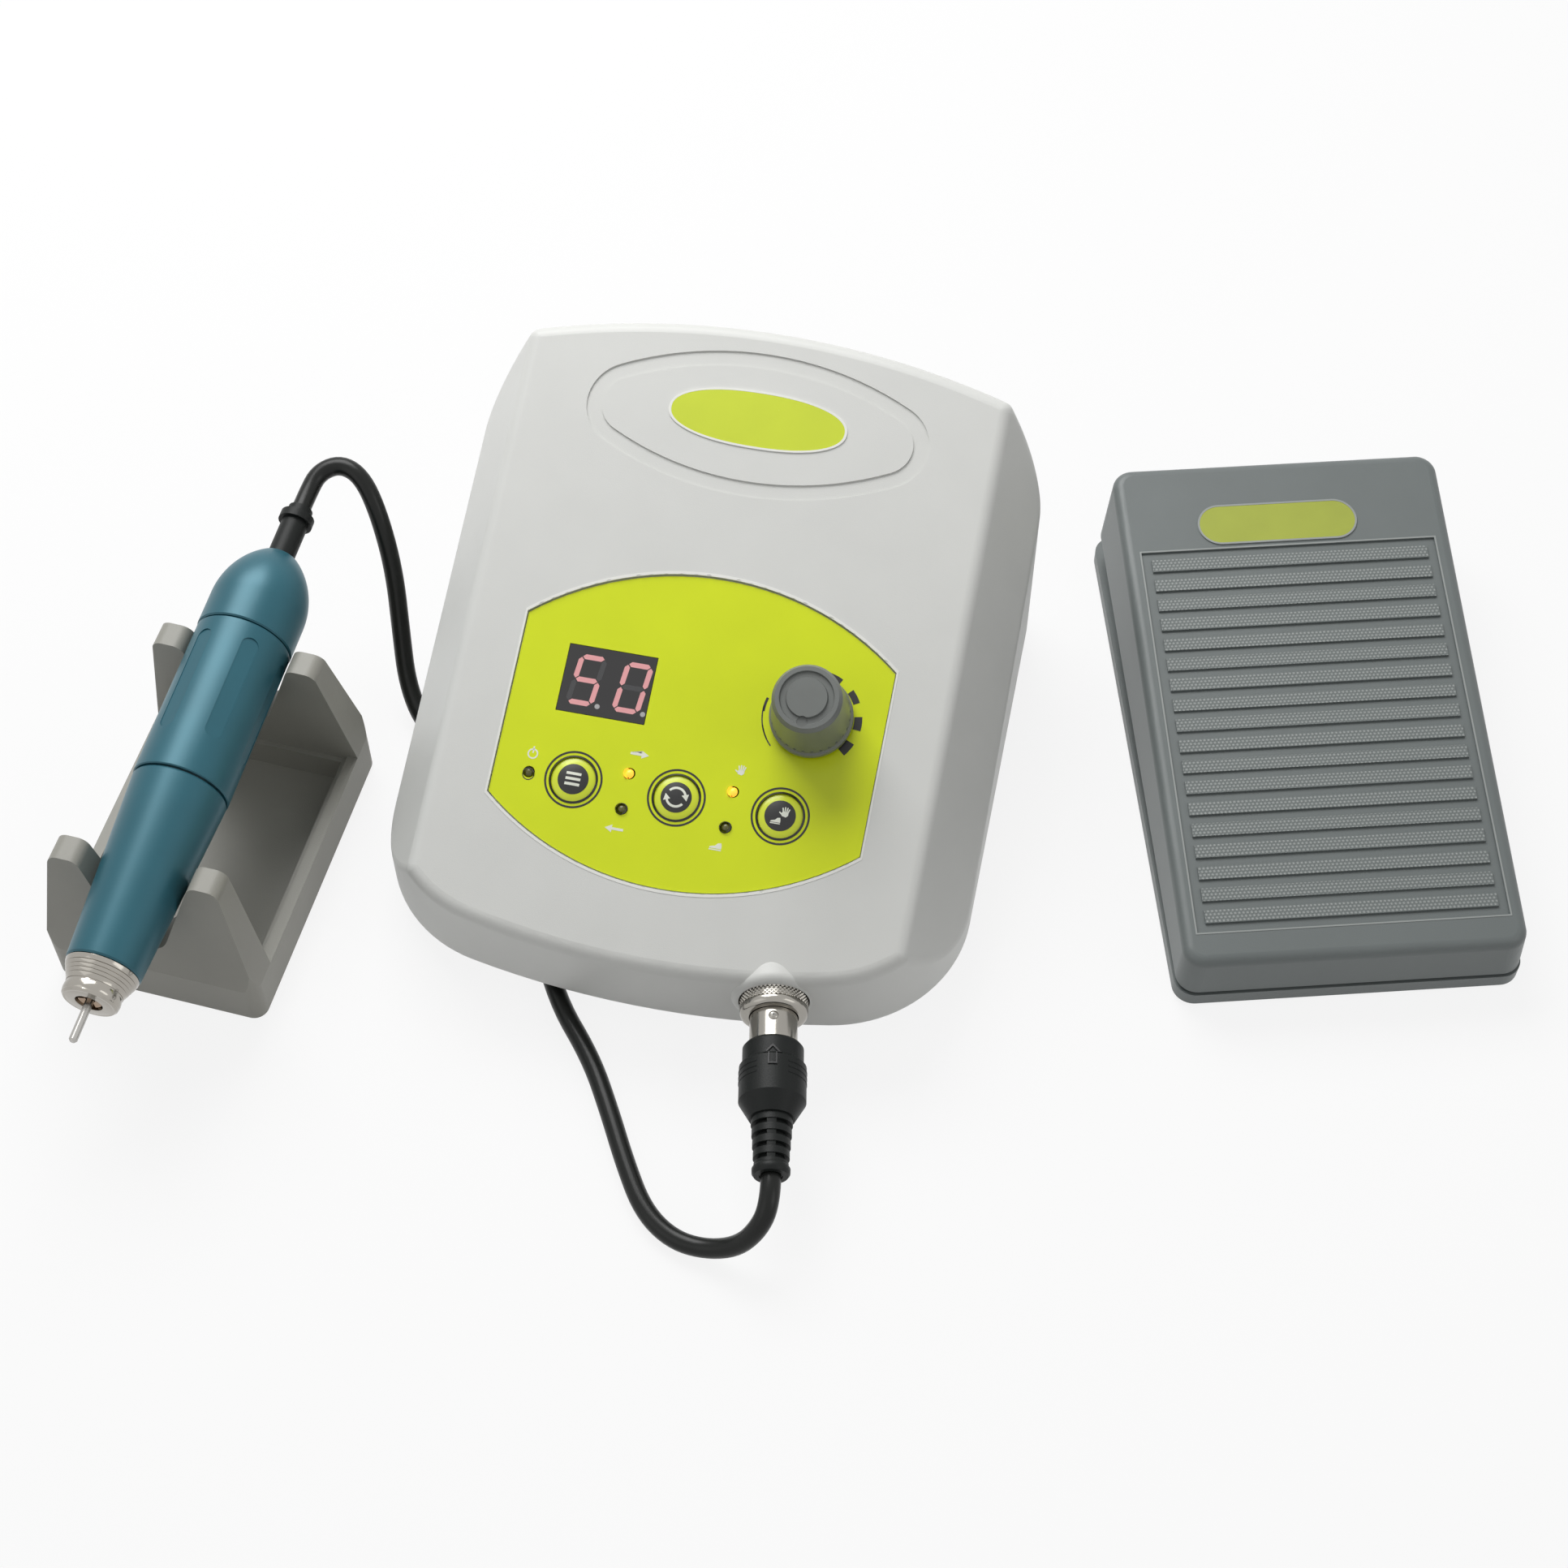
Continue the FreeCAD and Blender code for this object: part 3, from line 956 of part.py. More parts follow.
def build_spindle():
    bore = "(collet_radius + 0.05)"
    turned("spindle", HAND, [(bore, "4"), ("5", "4"), ("5", "60"), ("0", "60"), ("0", "57"), (bore, "57")])
    turned("drive_coupling", HAND, [("0", "60"), ("4.5", "60"), ("4.5", "68"), ("2.03", "68"), ("2.03", "64"), ("0", "64")])
    collet = new_body("collet_form")
    hole = "(shank_radius + 0.02)"
    spin(collet, [(hole, "1.5"), ("collet_radius - 0.5", "1.5"), ("collet_radius", "2.2"), ("collet_radius", "30"),
                  (hole, "30")])
    slot = new_sketch(collet, "XY_Plane", [rectangle("0", "-0.6", "5", "0.6")], lift="1.5")
    slit = pocket(collet, slot, "20", reverse=True)
    polar(collet, slit, "3")
    keep(collet, "collet", HAND)
    washers = []
    for k in range(10):
        washer = new_body("washer_form")
        low = 32 + 2.2 * k
        a, b = ("1.5", "collet_radius - 0.1") if k % 2 else ("collet_radius - 0.1", "1.5")
        spin(washer, [(a, low), (b, low + 1.1), (b, low + 1.7), (a, low + 0.6)])
        washers.append(washer.Shape)
    keep(group("washers", washers), "spring_washers", HAND)
    turned("bur_shank", HAND, [("0", "-shank_out"), ("shank_radius - 0.5", "-shank_out"), ("shank_radius", "-shank_out + 0.6"),
                               ("shank_radius", "shank_in"), ("0", "shank_in")])


# Foot pedal

def pedal_plan(inset="0"):
    return [(f"-(pedal_wide / 2 - {inset})", inset), (f"pedal_wide / 2 - {inset}", inset),
            (f"pedal_wide / 2 + pedal_flare - {inset}", f"pedal_long - {inset}"),
            (f"-(pedal_wide / 2 + pedal_flare - {inset})", f"pedal_long - {inset}")]


def pedal_slope():
    return "atan((pedal_rear - pedal_front) / pedal_long)"


def tread_sketch(body, loops, inset="0"):
    sketch = new_sketch(body, "XY_Plane", loops, turn=pedal_slope())
    bind(sketch, "AttachmentOffset.Base.y", f"({inset}) * sin({pedal_slope()})")
    bind(sketch, "AttachmentOffset.Base.z", f"pedal_front - ({inset}) * cos({pedal_slope()})")
    doc.recompute()
    return sketch


def pedal_wedge(label, inset):
    """The pedal cover's form as a solid, drawn in by an inset."""
    body = new_body(label)
    pad(body, new_sketch(body, "XY_Plane", [pedal_plan(inset)]), "60", taper="-pedal_draft")
    round_edges(body, f"6 - {inset}", upright)
    reach = 400
    pocket(body, tread_sketch(body, [[(-reach, -reach), (reach, -reach), (reach, reach), (-reach, reach)]], inset),
           reverse=True)
    return body


def build_pedal():
    outer = pedal_wedge("pedal_outer", "0")
    slope = math.atan(number("(pedal_rear - pedal_front) / pedal_long"))

    def on_tread(edge):
        return all(abs(p.z - number("pedal_front") - p.y * math.tan(slope)) < 1e-3
                   for p in [middle(edge)] + [v.Point for v in edge.Vertexes])
    round_edges(outer, "3", on_tread)
    low = "((pedal_long - tread_long) * 0.25)"
    floor = tread_sketch(outer, [rectangle("-tread_wide / 2", low, "tread_wide / 2", f"{low} + tread_long")])
    pocket(outer, floor, "bar_high")
    pitch = "((tread_long - bar_gap) / tread_bars)"
    bar = rectangle("-tread_wide / 2 + bar_gap", f"{low} + bar_gap", "tread_wide / 2 - bar_gap", f"{low} + {pitch}")
    row = pad(outer, tread_sketch(outer, [bar], "bar_high"), "bar_high")
    pattern = outer.newObject("PartDesign::LinearPattern", "row")
    pattern.Originals = [row]
    pattern.Direction = (row.Profile[0], ["V_Axis"])
    bind(pattern, "Length", f"{pitch} * (tread_bars - 1)")
    bind(pattern, "Occurrences", "tread_bars")
    outer.Tip = pattern
    doc.recompute()
    core = pedal_wedge("pedal_core", "pedal_wall")
    skirt = new_body("pedal_under")
    rise = "((skirt_rear - skirt_front) / pedal_long)"
    under = [("-50", "-50"), ("pedal_long + 50", "-50"), ("pedal_long + 50", f"skirt_rear + 50 * {rise}"),
             ("-50", f"skirt_front - 50 * {rise}")]
    pad(skirt, new_sketch(skirt, "YZ_Plane", [under]), "200", both=True)
    notch = block("skirt_notch", ("11", "20", "24"), ("gland_x - 5.5", "pedal_long - 10", "0"))
    shell = cut("pedal_shell", outer, core, skirt, notch)
    lugs = []
    for side in (-1, 1):
        lug = new_body("lug_form")
        profile = [("hinge_y - 3.8", "hinge_z - 3.6"), ("hinge_y + 3.8", "hinge_z - 3.6"),
                   ("hinge_y + 3.8", "hinge_z + 10.2"), ("hinge_y - 3.8", "hinge_z + 10.2")]
        pad(lug, new_sketch(lug, "YZ_Plane", [profile, ("hinge_y", "hinge_z", "hinge_pin + running_gap")], lift=f"{side} * (pedal_wide / 2 - 11)"),
            "4", both=True)
        lugs.append(lug)
    ceiling = "pedal_front + (magnet_y - 5) * (pedal_rear - pedal_front) / pedal_long - pedal_wall / 2"
    stem = block("magnet_stem", ("10", "10", f"{ceiling} - magnet_z - 3"), ("-5", "magnet_y - 5", "magnet_z + 3"))
    cover = join("pedal_cover", shell, *lugs, stem)
    keep(cover, "pedal_cover", PEDAL)

    base = new_body("pedal_base_form")
    pad(base, new_sketch(base, "XY_Plane", [pedal_plan()], lift="plate_low"), "plate_high - plate_low")
    round_edges(base, "6", upright)
    rear = "(pedal_long - plinth_rim)"
    wall = [("plinth_front", "plate_high - 1"), (rear, "plate_high - 1"), (rear, "plinth_high"), ("plinth_front", "plinth_low")]
    pad(base, new_sketch(base, "YZ_Plane", [wall]), "pedal_wide - 2 * plinth_rim", both=True)
    side = "(pedal_wide / 2 - plinth_rim - plinth_wall)"
    room = new_sketch(base, "XY_Plane", [rectangle(f"-{side}", "plinth_front - 6", side, f"{rear} - plinth_wall")], lift="plate_high")
    pocket(base, room, "60", reverse=True)
    eye = [("hinge_y - 4", "plate_high - 1"), ("hinge_y + 4", "plate_high - 1"), ("hinge_y + 4", "hinge_z + 4"),
           ("hinge_y - 4", "hinge_z + 4")]
    for side in (-1, 1):
        pad(base, new_sketch(base, "YZ_Plane", [eye], lift=f"{side} * (pedal_wide / 2 - 17)"), "4", both=True)
    hole = new_sketch(base, "YZ_Plane", [("hinge_y", "hinge_z", "hinge_pin")])
    pocket(base, hole, "80", both=True)
    gland = new_sketch(base, "XZ_Plane", [("gland_x", "gland_z", "gland_neck + panel_fit")], lift=f"-{rear}")
    pocket(base, gland, "plinth_wall + 1", reverse=True)
    keep(base, "pedal_base", PEDAL)

    pin = doc.addObject("Part::Feature", "hinge_pin_form")
    long = number("pedal_wide - 17")
    pin.Shape = Part.makeCylinder(number("hinge_pin"), long, Vector(-long / 2, number("hinge_y"), number("hinge_z")), X)
    keep(pin, "pedal_hinge_pin", PEDAL)
    spring = new_body("spring_form")
    spring_y = number("pedal_long - 34")
    slope = number("(pedal_rear - pedal_front) / pedal_long")
    ceiling = number("pedal_front") + spring_y * slope - number("pedal_wall") * math.sqrt(1 + slope ** 2) - 1.3
    corners = [("0", "plate_high")]
    waves = 4
    step = (ceiling - number("plate_high")) / waves
    for k in range(waves):
        corners += [("6", f"plate_high + {k * step:.3f}"), ("7", f"plate_high + {(k + 0.5) * step:.3f}")]
    corners += [("6", f"plate_high + {waves * step:.3f}"), ("0", f"plate_high + {waves * step:.3f}")]
    spin(spring, corners)
    springs = [spring.Shape.translated(Vector(side * number("pedal_wide / 2 - 24"), spring_y, 0)) for side in (-1, 1)]
    keep(group("springs", springs), "pedal_springs", PEDAL)
    spots = [(a * number("pedal_wide / 2 - 11"), number(b)) for a in (-1, 1) for b in ("14", "pedal_long - 14")]
    pads = [Part.makeCylinder(6, number("plate_low"), Vector(x, y, 0)) for x, y in spots]
    keep(group("pads", pads), "pedal_feet", PEDAL)
    gland_frame = PEDAL * Placement(Vector(number("gland_x"), number(rear), number("gland_z")), Rotation(X, -90))
    turned("pedal_gland", gland_frame, [("1.6", "-plinth_wall - 3"), ("4.8", "-plinth_wall - 3"), ("4.8", "-plinth_wall"),
                                        ("gland_neck", "-plinth_wall"), ("gland_neck", "0"), ("4.8", "0"),
                                        ("4.8", "2"), ("3.8", "3"), ("3.4", "12"), ("1.6", "12")])
    board = new_body("pedal_board_form")
    pad(board, new_sketch(board, "XY_Plane", [centred("0", "magnet_y", "30", "40")], lift="plate_high"), "1.6")
    pad(board, new_sketch(board, "XY_Plane", [centred("0", "magnet_y", "8", "8")], lift="plate_high + 1.6"), "3")
    keep(board, "pedal_board", PEDAL)
    magnet = doc.addObject("Part::Feature", "magnet_form")
    magnet.Shape = Part.makeCylinder(4, 3, Vector(0, number("magnet_y"), number("magnet_z")))
    keep(magnet, "pedal_magnet", PEDAL)


# Cord

def console_point(x, y, z):
    return CONSOLE.multVec(Vector(x, y, z))


def bend_edges(points):
    """Straight runs between the points, joined by tangent arcs."""
    edges = []
    at = points[0]
    radii = []
    for before, corner, after in zip(points, points[1:], points[2:]):
        arrive = corner - before
        leave = after - corner
        trim = 0.45 * min(arrive.Length, leave.Length)
        half_turn = arrive.getAngle(leave) / 2
        radius = trim / math.tan(half_turn)
        arrive.normalize()
        leave.normalize()
        start = corner - arrive * trim
        end = corner + leave * trim
        inward = (leave - arrive).normalize()
        centre = corner + inward * (radius / math.cos(half_turn))
        edges.append(Part.LineSegment(at, start))
        edges.append(Part.Arc(start, centre - inward * radius, end))
        radii.append(radius)
        at = end
    edges.append(Part.LineSegment(at, points[-1]))
    return edges, radii


def biarc(start, start_way, end, end_way):
    """Two tangent arcs from one point and direction to another."""
    span = end - start
    ways = start_way + end_way
    dot = span.dot(ways)
    spare = 2 * (1 - start_way.dot(end_way))
    reach = (-dot + math.sqrt(dot * dot + spare * span.dot(span))) / spare
    first = start + start_way * reach
    second = end - end_way * reach
    joint = (first + second) * 0.5

    def arc(a, corner, b):
        way_a = (corner - a).normalize()
        way_b = (b - corner).normalize()
        half = way_a.getAngle(way_b) / 2
        inward = (way_b - way_a).normalize()
        radius = (corner - a).Length / math.tan(half)
        return Part.Arc(a, corner + inward * (radius / math.cos(half) - radius), b)

    return [arc(start, first, joint), arc(joint, second, end)]


def sweep(label, edges):
    """A round tube along a row of edges, with its volume compared to its section and length."""
    wire = Part.Wire([edge.toShape() for edge in edges])
    radius = number("cord_radius")
    start = wire.Edges[0]
    circle = Part.Wire(Part.Circle(start.valueAt(start.FirstParameter), start.tangentAt(start.FirstParameter), radius).toShape())
    maker = Part.BRepOffsetAPI.MakePipeShell(wire)
    maker.add(circle)
    maker.build()
    maker.makeSolid()
    item = doc.addObject("Part::Feature", label + "_form")
    item.Shape = maker.shape()
    expected = math.pi * radius ** 2 * wire.Length
    if abs(item.Shape.Volume / expected - 1) > 0.01:
        raise RuntimeError(f"{label} has volume {item.Shape.Volume:.0f}, not {expected:.0f}")
    NODES.append(item)
    item.Label = label
    print(f"{label}: length {wire.Length:.1f} mm")
    return item


def coil_at(turns):
    """The coil's middle line, seen from above clockwise from its left side."""
    count = number("coil_layer_turns")
    outer = number("coil_mean") + 5.6
    inner = number("coil_mean") - 5.6
    low = number("cord_radius") + 0.1
    rate = (outer - inner) / count
    if turns <= count:
        radius, z = outer - rate * turns, low
    elif turns <= count + 0.5:
        share = (turns - count) / 0.5
        radius, z = inner, low + number("coil_step") * (1 - math.cos(math.pi * share)) / 2
    else:
        radius, z = inner + rate * (turns - count - 0.5), low + number("coil_step")
    angle = math.pi - 2 * math.pi * turns
    return console_point(number("coil_x") + radius * math.cos(angle), number("coil_y") + radius * math.sin(angle), z)


def coil_way(turns):
    return (coil_at(turns + 0.01) - coil_at(turns - 0.01)).normalize()


def build_coil():
    total = 2 * number("coil_layer_turns") + 0.5
    quarters = round(total * 4)
    straight = 2 * number("cord_radius")
    points = [coil_at(k / 4) for k in range(quarters + 1)]
    ways = [Vector(0, 1, 0)] + [coil_way(k / 4) for k in range(1, quarters)] + [Vector(0, -1, 0)]
    edges = [Part.LineSegment(points[0] - ways[0] * straight, points[0])]
    for k in range(quarters):
        edges += biarc(points[k], ways[k], points[k + 1], ways[k + 1])
    edges.append(Part.LineSegment(points[-1], points[-1] + ways[-1] * straight))
    sweep("cord_coil", edges)
    line = []
    for edge in edges:
        line += edge.toShape().discretize(Distance=2.0)[:-1]
    least = min((line[i] - line[j]).Length for i in range(len(line)) for j in range(i + 12, len(line)))
    print(f"least gap in the coil {least - 2 * number('cord_radius'):.2f} mm")
    return points[0] - ways[0] * straight, points[-1] + ways[-1] * straight


LEAD = [(-126.6, 40.4, 58.6), (-120.6, 43.9, 60.0), (-113.4, 41.3, 58.4), (-107.0, 34.0, 50.5), (-101.8, 25.5, 36.5),
        (-98.8, 16.0, 21.0), (-95.4, 6.2, 9.0), (-88.5, -3.0, 3.2), (-78.0, -9.3, 2.85), (-66.0, -7.0, 2.85),
        (-57.5, 5.0, 2.85), (-54.0, 26.0, 2.85), (-51.0, 54.0, 2.85), (-49.0, 80.0, 2.85), (-53.1, 103.0, 2.85)]
TAIL = [(46.7, -147.6, 17.8), (41.5, -151.5, 9.5), (32.5, -152.0, 4.0), (22.5, -150.6, 2.85), (13.0, -144.0, 2.85),
        (5.0, -131.5, 2.85), (-3.0, -117.0, 2.85), (-12.0, -102.0, 2.85), (-26.0, -86.0, 2.85), (-38.0, -62.0, 2.85),
        (-32.0, -34.0, 2.85), (-17.0, -4.0, 2.85), (-3.0, 26.0, 2.85), (7.0, 56.0, 2.85), (12.0, 80.0, 2.85),
        (13.1, 95.0, 3.4), (13.1, 107.0, 9.25)]


def build_cords():
    coil_start, coil_end = build_coil()
    end = HAND.multVec(Vector(0, 0, number("relief_end")))
    way = HAND.Rotation.multVec(Z)
    lead = [end, end + way * 6] + [console_point(*p) for p in LEAD] + [coil_start]
    edges, radii = bend_edges(lead)
    print("lead radii", [round(r, 1) for r in radii])
    sweep("cord_lead", edges)
    end = SOCKET.multVec(Vector(0, 0, number("boot_end + relief_long")))
    way = SOCKET.Rotation.multVec(Z)
    tail = [end, end + way * 5.5] + [console_point(*p) for p in TAIL] + [coil_end]
    edges, radii = bend_edges(tail)
    print("tail radii", [round(r, 1) for r in radii])
    sweep("cord_tail", edges)
    for name, run in (("lead", lead), ("tail", tail)):
        print(name, [tuple(round(v, 2) for v in p) for p in run])


def main():
    build_cover()
    build_base()
    build_fascia()
    build_lamps()
    build_buttons()
    build_board()
    build_knob()
    build_back()
    build_inside()
    build_feet()
    build_plug()
    build_rest()
    build_handpiece()
    build_motor()
    build_spindle()
    build_pedal()
    build_cords()
    doc.recompute()
    for item in doc.Objects:
        if {"Invalid", "Error"} & set(item.State):
            raise RuntimeError(f"{item.Label} is in the state {item.State}")
    for item in NODES:
        if item.Shape.isNull() or not item.Shape.isValid():
            raise RuntimeError(f"{item.Label} has no valid shape")
    os.makedirs("parts", exist_ok=True)
    for item in NODES:
        item.Shape.exportStep(f"parts/{item.Label}.step")
        print(f"{item.Label}: {len(item.Shape.Solids)} solid, {item.Shape.Volume:.0f} cubic mm")


main()
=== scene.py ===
import bmesh
import bpy
import json
import math
from mathutils import Matrix, Vector
from mathutils.bvhtree import BVHTree


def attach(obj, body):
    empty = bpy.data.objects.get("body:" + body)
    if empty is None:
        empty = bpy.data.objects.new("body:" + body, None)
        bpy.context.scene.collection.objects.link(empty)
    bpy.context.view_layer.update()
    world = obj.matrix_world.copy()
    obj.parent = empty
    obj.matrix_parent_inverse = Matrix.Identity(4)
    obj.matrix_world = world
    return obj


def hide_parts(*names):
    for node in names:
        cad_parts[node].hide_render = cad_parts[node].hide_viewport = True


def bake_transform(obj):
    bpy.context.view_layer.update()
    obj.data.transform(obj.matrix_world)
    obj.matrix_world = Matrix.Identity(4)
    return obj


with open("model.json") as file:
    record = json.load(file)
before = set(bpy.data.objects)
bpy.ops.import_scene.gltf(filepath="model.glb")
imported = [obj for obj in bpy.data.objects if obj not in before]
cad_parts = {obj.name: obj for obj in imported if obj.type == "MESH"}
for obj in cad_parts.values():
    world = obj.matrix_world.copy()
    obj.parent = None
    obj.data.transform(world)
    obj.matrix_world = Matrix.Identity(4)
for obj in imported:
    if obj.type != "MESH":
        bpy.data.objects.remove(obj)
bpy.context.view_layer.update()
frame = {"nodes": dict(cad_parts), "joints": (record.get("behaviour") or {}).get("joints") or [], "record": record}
NODES = frame["nodes"]
MM = 0.001
X, Y, Z = Vector((1, 0, 0)), Vector((0, 1, 0)), Vector((0, 0, 1))

# Places in millimetres of the console's own frame, turns in degrees, and where that frame stands in the row
LAYOUT = Vector((-35.1, 7.1, 0)) * MM
PANEL_AT, PANEL_TILT = (0, -42.1, 48), 20.5
SOCKET_AT, SOCKET_TURN = (36, -84.496, 22), 11.2
PEDAL_AT, PEDAL_TURN = (190.5, -37.6, 0), 16
GRIP_JOINT_FROM_NOSE = 38
HANDPIECE_TURN = 3


def axes(origin, x, y, z):
    """A matrix from three axes and an origin in millimetres of the console's own frame."""
    m = Matrix((x, y, z)).transposed().to_4x4()
    m.translation = Vector(origin) * MM + LAYOUT
    return m


def turned(angle, axis):
    return Matrix.Rotation(math.radians(angle), 3, axis)


def frame_of(origin, turn):
    return axes(origin, turn @ X, turn @ Y, turn @ Z)


def handpiece_frame():
    """The handpiece's own frame: z runs along it from the nose's face, and x is level."""
    twist = next(j for j in frame["joints"] if j["name"] == "grip_twist")
    way = Vector(twist["axis"]).normalized()
    level = Vector((-math.cos(math.radians(HANDPIECE_TURN)), math.sin(math.radians(HANDPIECE_TURN)), 0))
    m = Matrix((level, way.cross(level), way)).transposed().to_4x4()
    m.translation = Vector(twist["pos_m"]) - way * GRIP_JOINT_FROM_NOSE * MM
    return m


PANEL = frame_of(PANEL_AT, turned(PANEL_TILT, "X"))
SOCKET = frame_of(SOCKET_AT, turned(SOCKET_TURN, "Z") @ turned(90, "X"))
PEDAL = frame_of(PEDAL_AT, turned(PEDAL_TURN, "Z"))
HAND = handpiece_frame()


# Materials

BLOTCH_SCALE, BUMP_DEPTH = 60.0, 0.2 * MM


def material(name, colour, rough, metal=0.0, grain=0.0, size=2500.0, vary=0.06, coat=0.0, spec=0.5):
    """A shader with a slightly uneven colour and gloss, and a fine grain in the bump."""
    mat = bpy.data.materials.new(name)
    mat.use_nodes = True
    tree = mat.node_tree
    shader = tree.nodes["Principled BSDF"]
    shader.inputs["Metallic"].default_value = metal
    shader.inputs["Coat Weight"].default_value = coat
    shader.inputs["Coat Roughness"].default_value = 0.15
    shader.inputs["Specular IOR Level"].default_value = spec
    where = tree.nodes.new("ShaderNodeTexCoord")
    cloud = tree.nodes.new("ShaderNodeTexNoise")
    cloud.inputs["Scale"].default_value = BLOTCH_SCALE
    cloud.inputs["Detail"].default_value = 6
    tree.links.new(where.outputs["Object"], cloud.inputs["Vector"])
    ramp = tree.nodes.new("ShaderNodeValToRGB")
    dark, pale = ramp.color_ramp.elements
    dark.position, pale.position = 0.3, 0.7
    dark.color = (*[c * (1 - vary) for c in colour], 1)
    pale.color = (*[min(1, c * (1 + vary)) for c in colour], 1)
    tree.links.new(cloud.outputs["Fac"], ramp.inputs["Fac"])
    tree.links.new(ramp.outputs["Color"], shader.inputs["Base Color"])
    gloss = tree.nodes.new("ShaderNodeMapRange")
    gloss.inputs["To Min"].default_value = max(0.02, rough - 0.05)
    gloss.inputs["To Max"].default_value = min(1, rough + 0.05)
    fine = tree.nodes.new("ShaderNodeTexNoise")
    fine.inputs["Scale"].default_value = size
    fine.inputs["Detail"].default_value = 3
    tree.links.new(where.outputs["Object"], fine.inputs["Vector"])
    tree.links.new(fine.outputs["Fac"], gloss.inputs["Value"])
    tree.links.new(gloss.outputs["Result"], shader.inputs["Roughness"])
    if grain:
        bump = tree.nodes.new("ShaderNodeBump")
        bump.inputs["Strength"].default_value = grain
        bump.inputs["Distance"].default_value = BUMP_DEPTH
        tree.links.new(fine.outputs["Fac"], bump.inputs["Height"])
        tree.links.new(bump.outputs["Normal"], shader.inputs["Normal"])
    return mat


def glowing(mat, colour, strength):
    shader = mat.node_tree.nodes["Principled BSDF"]
    shader.inputs["Emission Color"].default_value = (*colour, 1)
    shader.inputs["Emission Strength"].default_value = strength
    return mat


MATS = {
    "shell_white": material("moulded pale plastic", (0.68, 0.685, 0.66), 0.42,
                            grain=0.12, size=3500, vary=0.015, spec=0.4),
    "fascia_lime": material("printed lime film", (0.68, 0.785, 0.008), 0.25,
                            grain=0.02, vary=0.02, coat=0.15, spec=0.35),
    "smoked_window": material("smoked window", (0.012, 0.011, 0.012), 0.12, vary=0.2, coat=0.3),
    "display_grey": material("display body", (0.03, 0.03, 0.032), 0.5, grain=0.05, vary=0.1),
    "lamp_amber": material("lamp lens", (0.09, 0.09, 0.01), 0.25, vary=0.2),
    "button_green": material("button film", (0.69, 0.79, 0.02), 0.3, grain=0.02, vary=0.02, coat=0.3),
    "board_green": material("board", (0.02, 0.16, 0.05), 0.4, grain=0.1, vary=0.15),
    "switch_black": material("black moulding", (0.02, 0.02, 0.02), 0.45, grain=0.1, vary=0.15),
    "steel": material("steel", (0.42, 0.41, 0.39), 0.25, metal=1.0, grain=0.03, vary=0.05),
    "knob_grey": material("knob plastic", (0.155, 0.165, 0.157), 0.38, grain=0.12, vary=0.08),
    "core_steel": material("stacked sheet", (0.16, 0.16, 0.165), 0.5, metal=0.7, grain=0.3, vary=0.15),
    "winding": material("taped winding", (0.5, 0.36, 0.08), 0.5, grain=0.2, vary=0.1),
    "sink_aluminium": material("aluminium", (0.5, 0.51, 0.52), 0.35, metal=1.0, grain=0.08, vary=0.05),
    "can_black": material("sleeved can", (0.03, 0.035, 0.08), 0.3, vary=0.1),
    "panel_black": material("rear panel", (0.022, 0.022, 0.023), 0.55, grain=0.25, vary=0.1),
    "rubber_black": material("black rubber", (0.0075, 0.009, 0.0085), 0.44, grain=0.2, vary=0.15, spec=0.2),
    "plug_chrome": material("plated metal", (0.33, 0.315, 0.285), 0.18, metal=1.0, grain=0.01, vary=0.04),
    "cord_black": material("cord jacket", (0.0085, 0.0095, 0.0085), 0.3,
                           grain=0.05, size=900, vary=0.12, spec=0.25),
    "rest_grey": material("rest plastic", (0.285, 0.28, 0.248), 0.48, grain=0.18, size=3000, vary=0.03),
    "handpiece_blue": material("anodised blue", (0.017, 0.108, 0.145), 0.38,
                               metal=0.25, grain=0.06, size=5000, vary=0.05),
    "nose_chrome": material("turned nose", (0.37, 0.35, 0.315), 0.16, metal=1.0, grain=0.01, vary=0.03),
    "bronze": material("bronze", (0.33, 0.24, 0.17), 0.3, metal=1.0, grain=0.05, vary=0.1),
    "magnet": material("magnet", (0.3, 0.3, 0.3), 0.4, metal=0.8, grain=0.05, vary=0.1),
    "pedal_grey": material("pedal plastic", (0.14, 0.158, 0.156), 0.42, grain=0.15, size=3000, vary=0.03),
    "print_black": material("black print", (0.012, 0.012, 0.012), 0.35, vary=0.2),
    "print_white": material("white print", (0.8, 0.82, 0.72), 0.4, vary=0.03),
    "badge_lime": material("badge foil", (0.6, 0.7, 0.02), 0.25, grain=0.02, vary=0.03, coat=0.4),
    "badge_olive": material("domed badge", (0.36, 0.41, 0.035), 0.2,
                            metal=0.15, grain=0.03, vary=0.06, coat=0.6),
    # Paler copies of the cover's and the pedal's plastic, for rims, raised lines and the case seam: painted edge
    # highlights.
    "edge_pale": material("painted highlight, pale", (0.82, 0.82, 0.78), 0.35, vary=0.02),
    "edge_grey": material("painted highlight, grey", (0.3, 0.32, 0.31), 0.4, vary=0.03),
    "groove": material("shaded groove", (0.3, 0.3, 0.28), 0.6, vary=0.05),
    "segment_lit": glowing(material("lit segment", (0.62, 0.29, 0.3), 0.4, vary=0.05),
                           (1.0, 0.42, 0.44), 0.15),
    "lamp_lit": glowing(material("lit lamp", (1.0, 0.55, 0.05), 0.3, vary=0.1), (1.0, 0.42, 0.03), 0.9),
}

for part in frame["record"]["subparts"]:
    node = NODES[part["node"]]
    node.data.materials.clear()
    node.data.materials.append(MATS[part["material_slot"]])


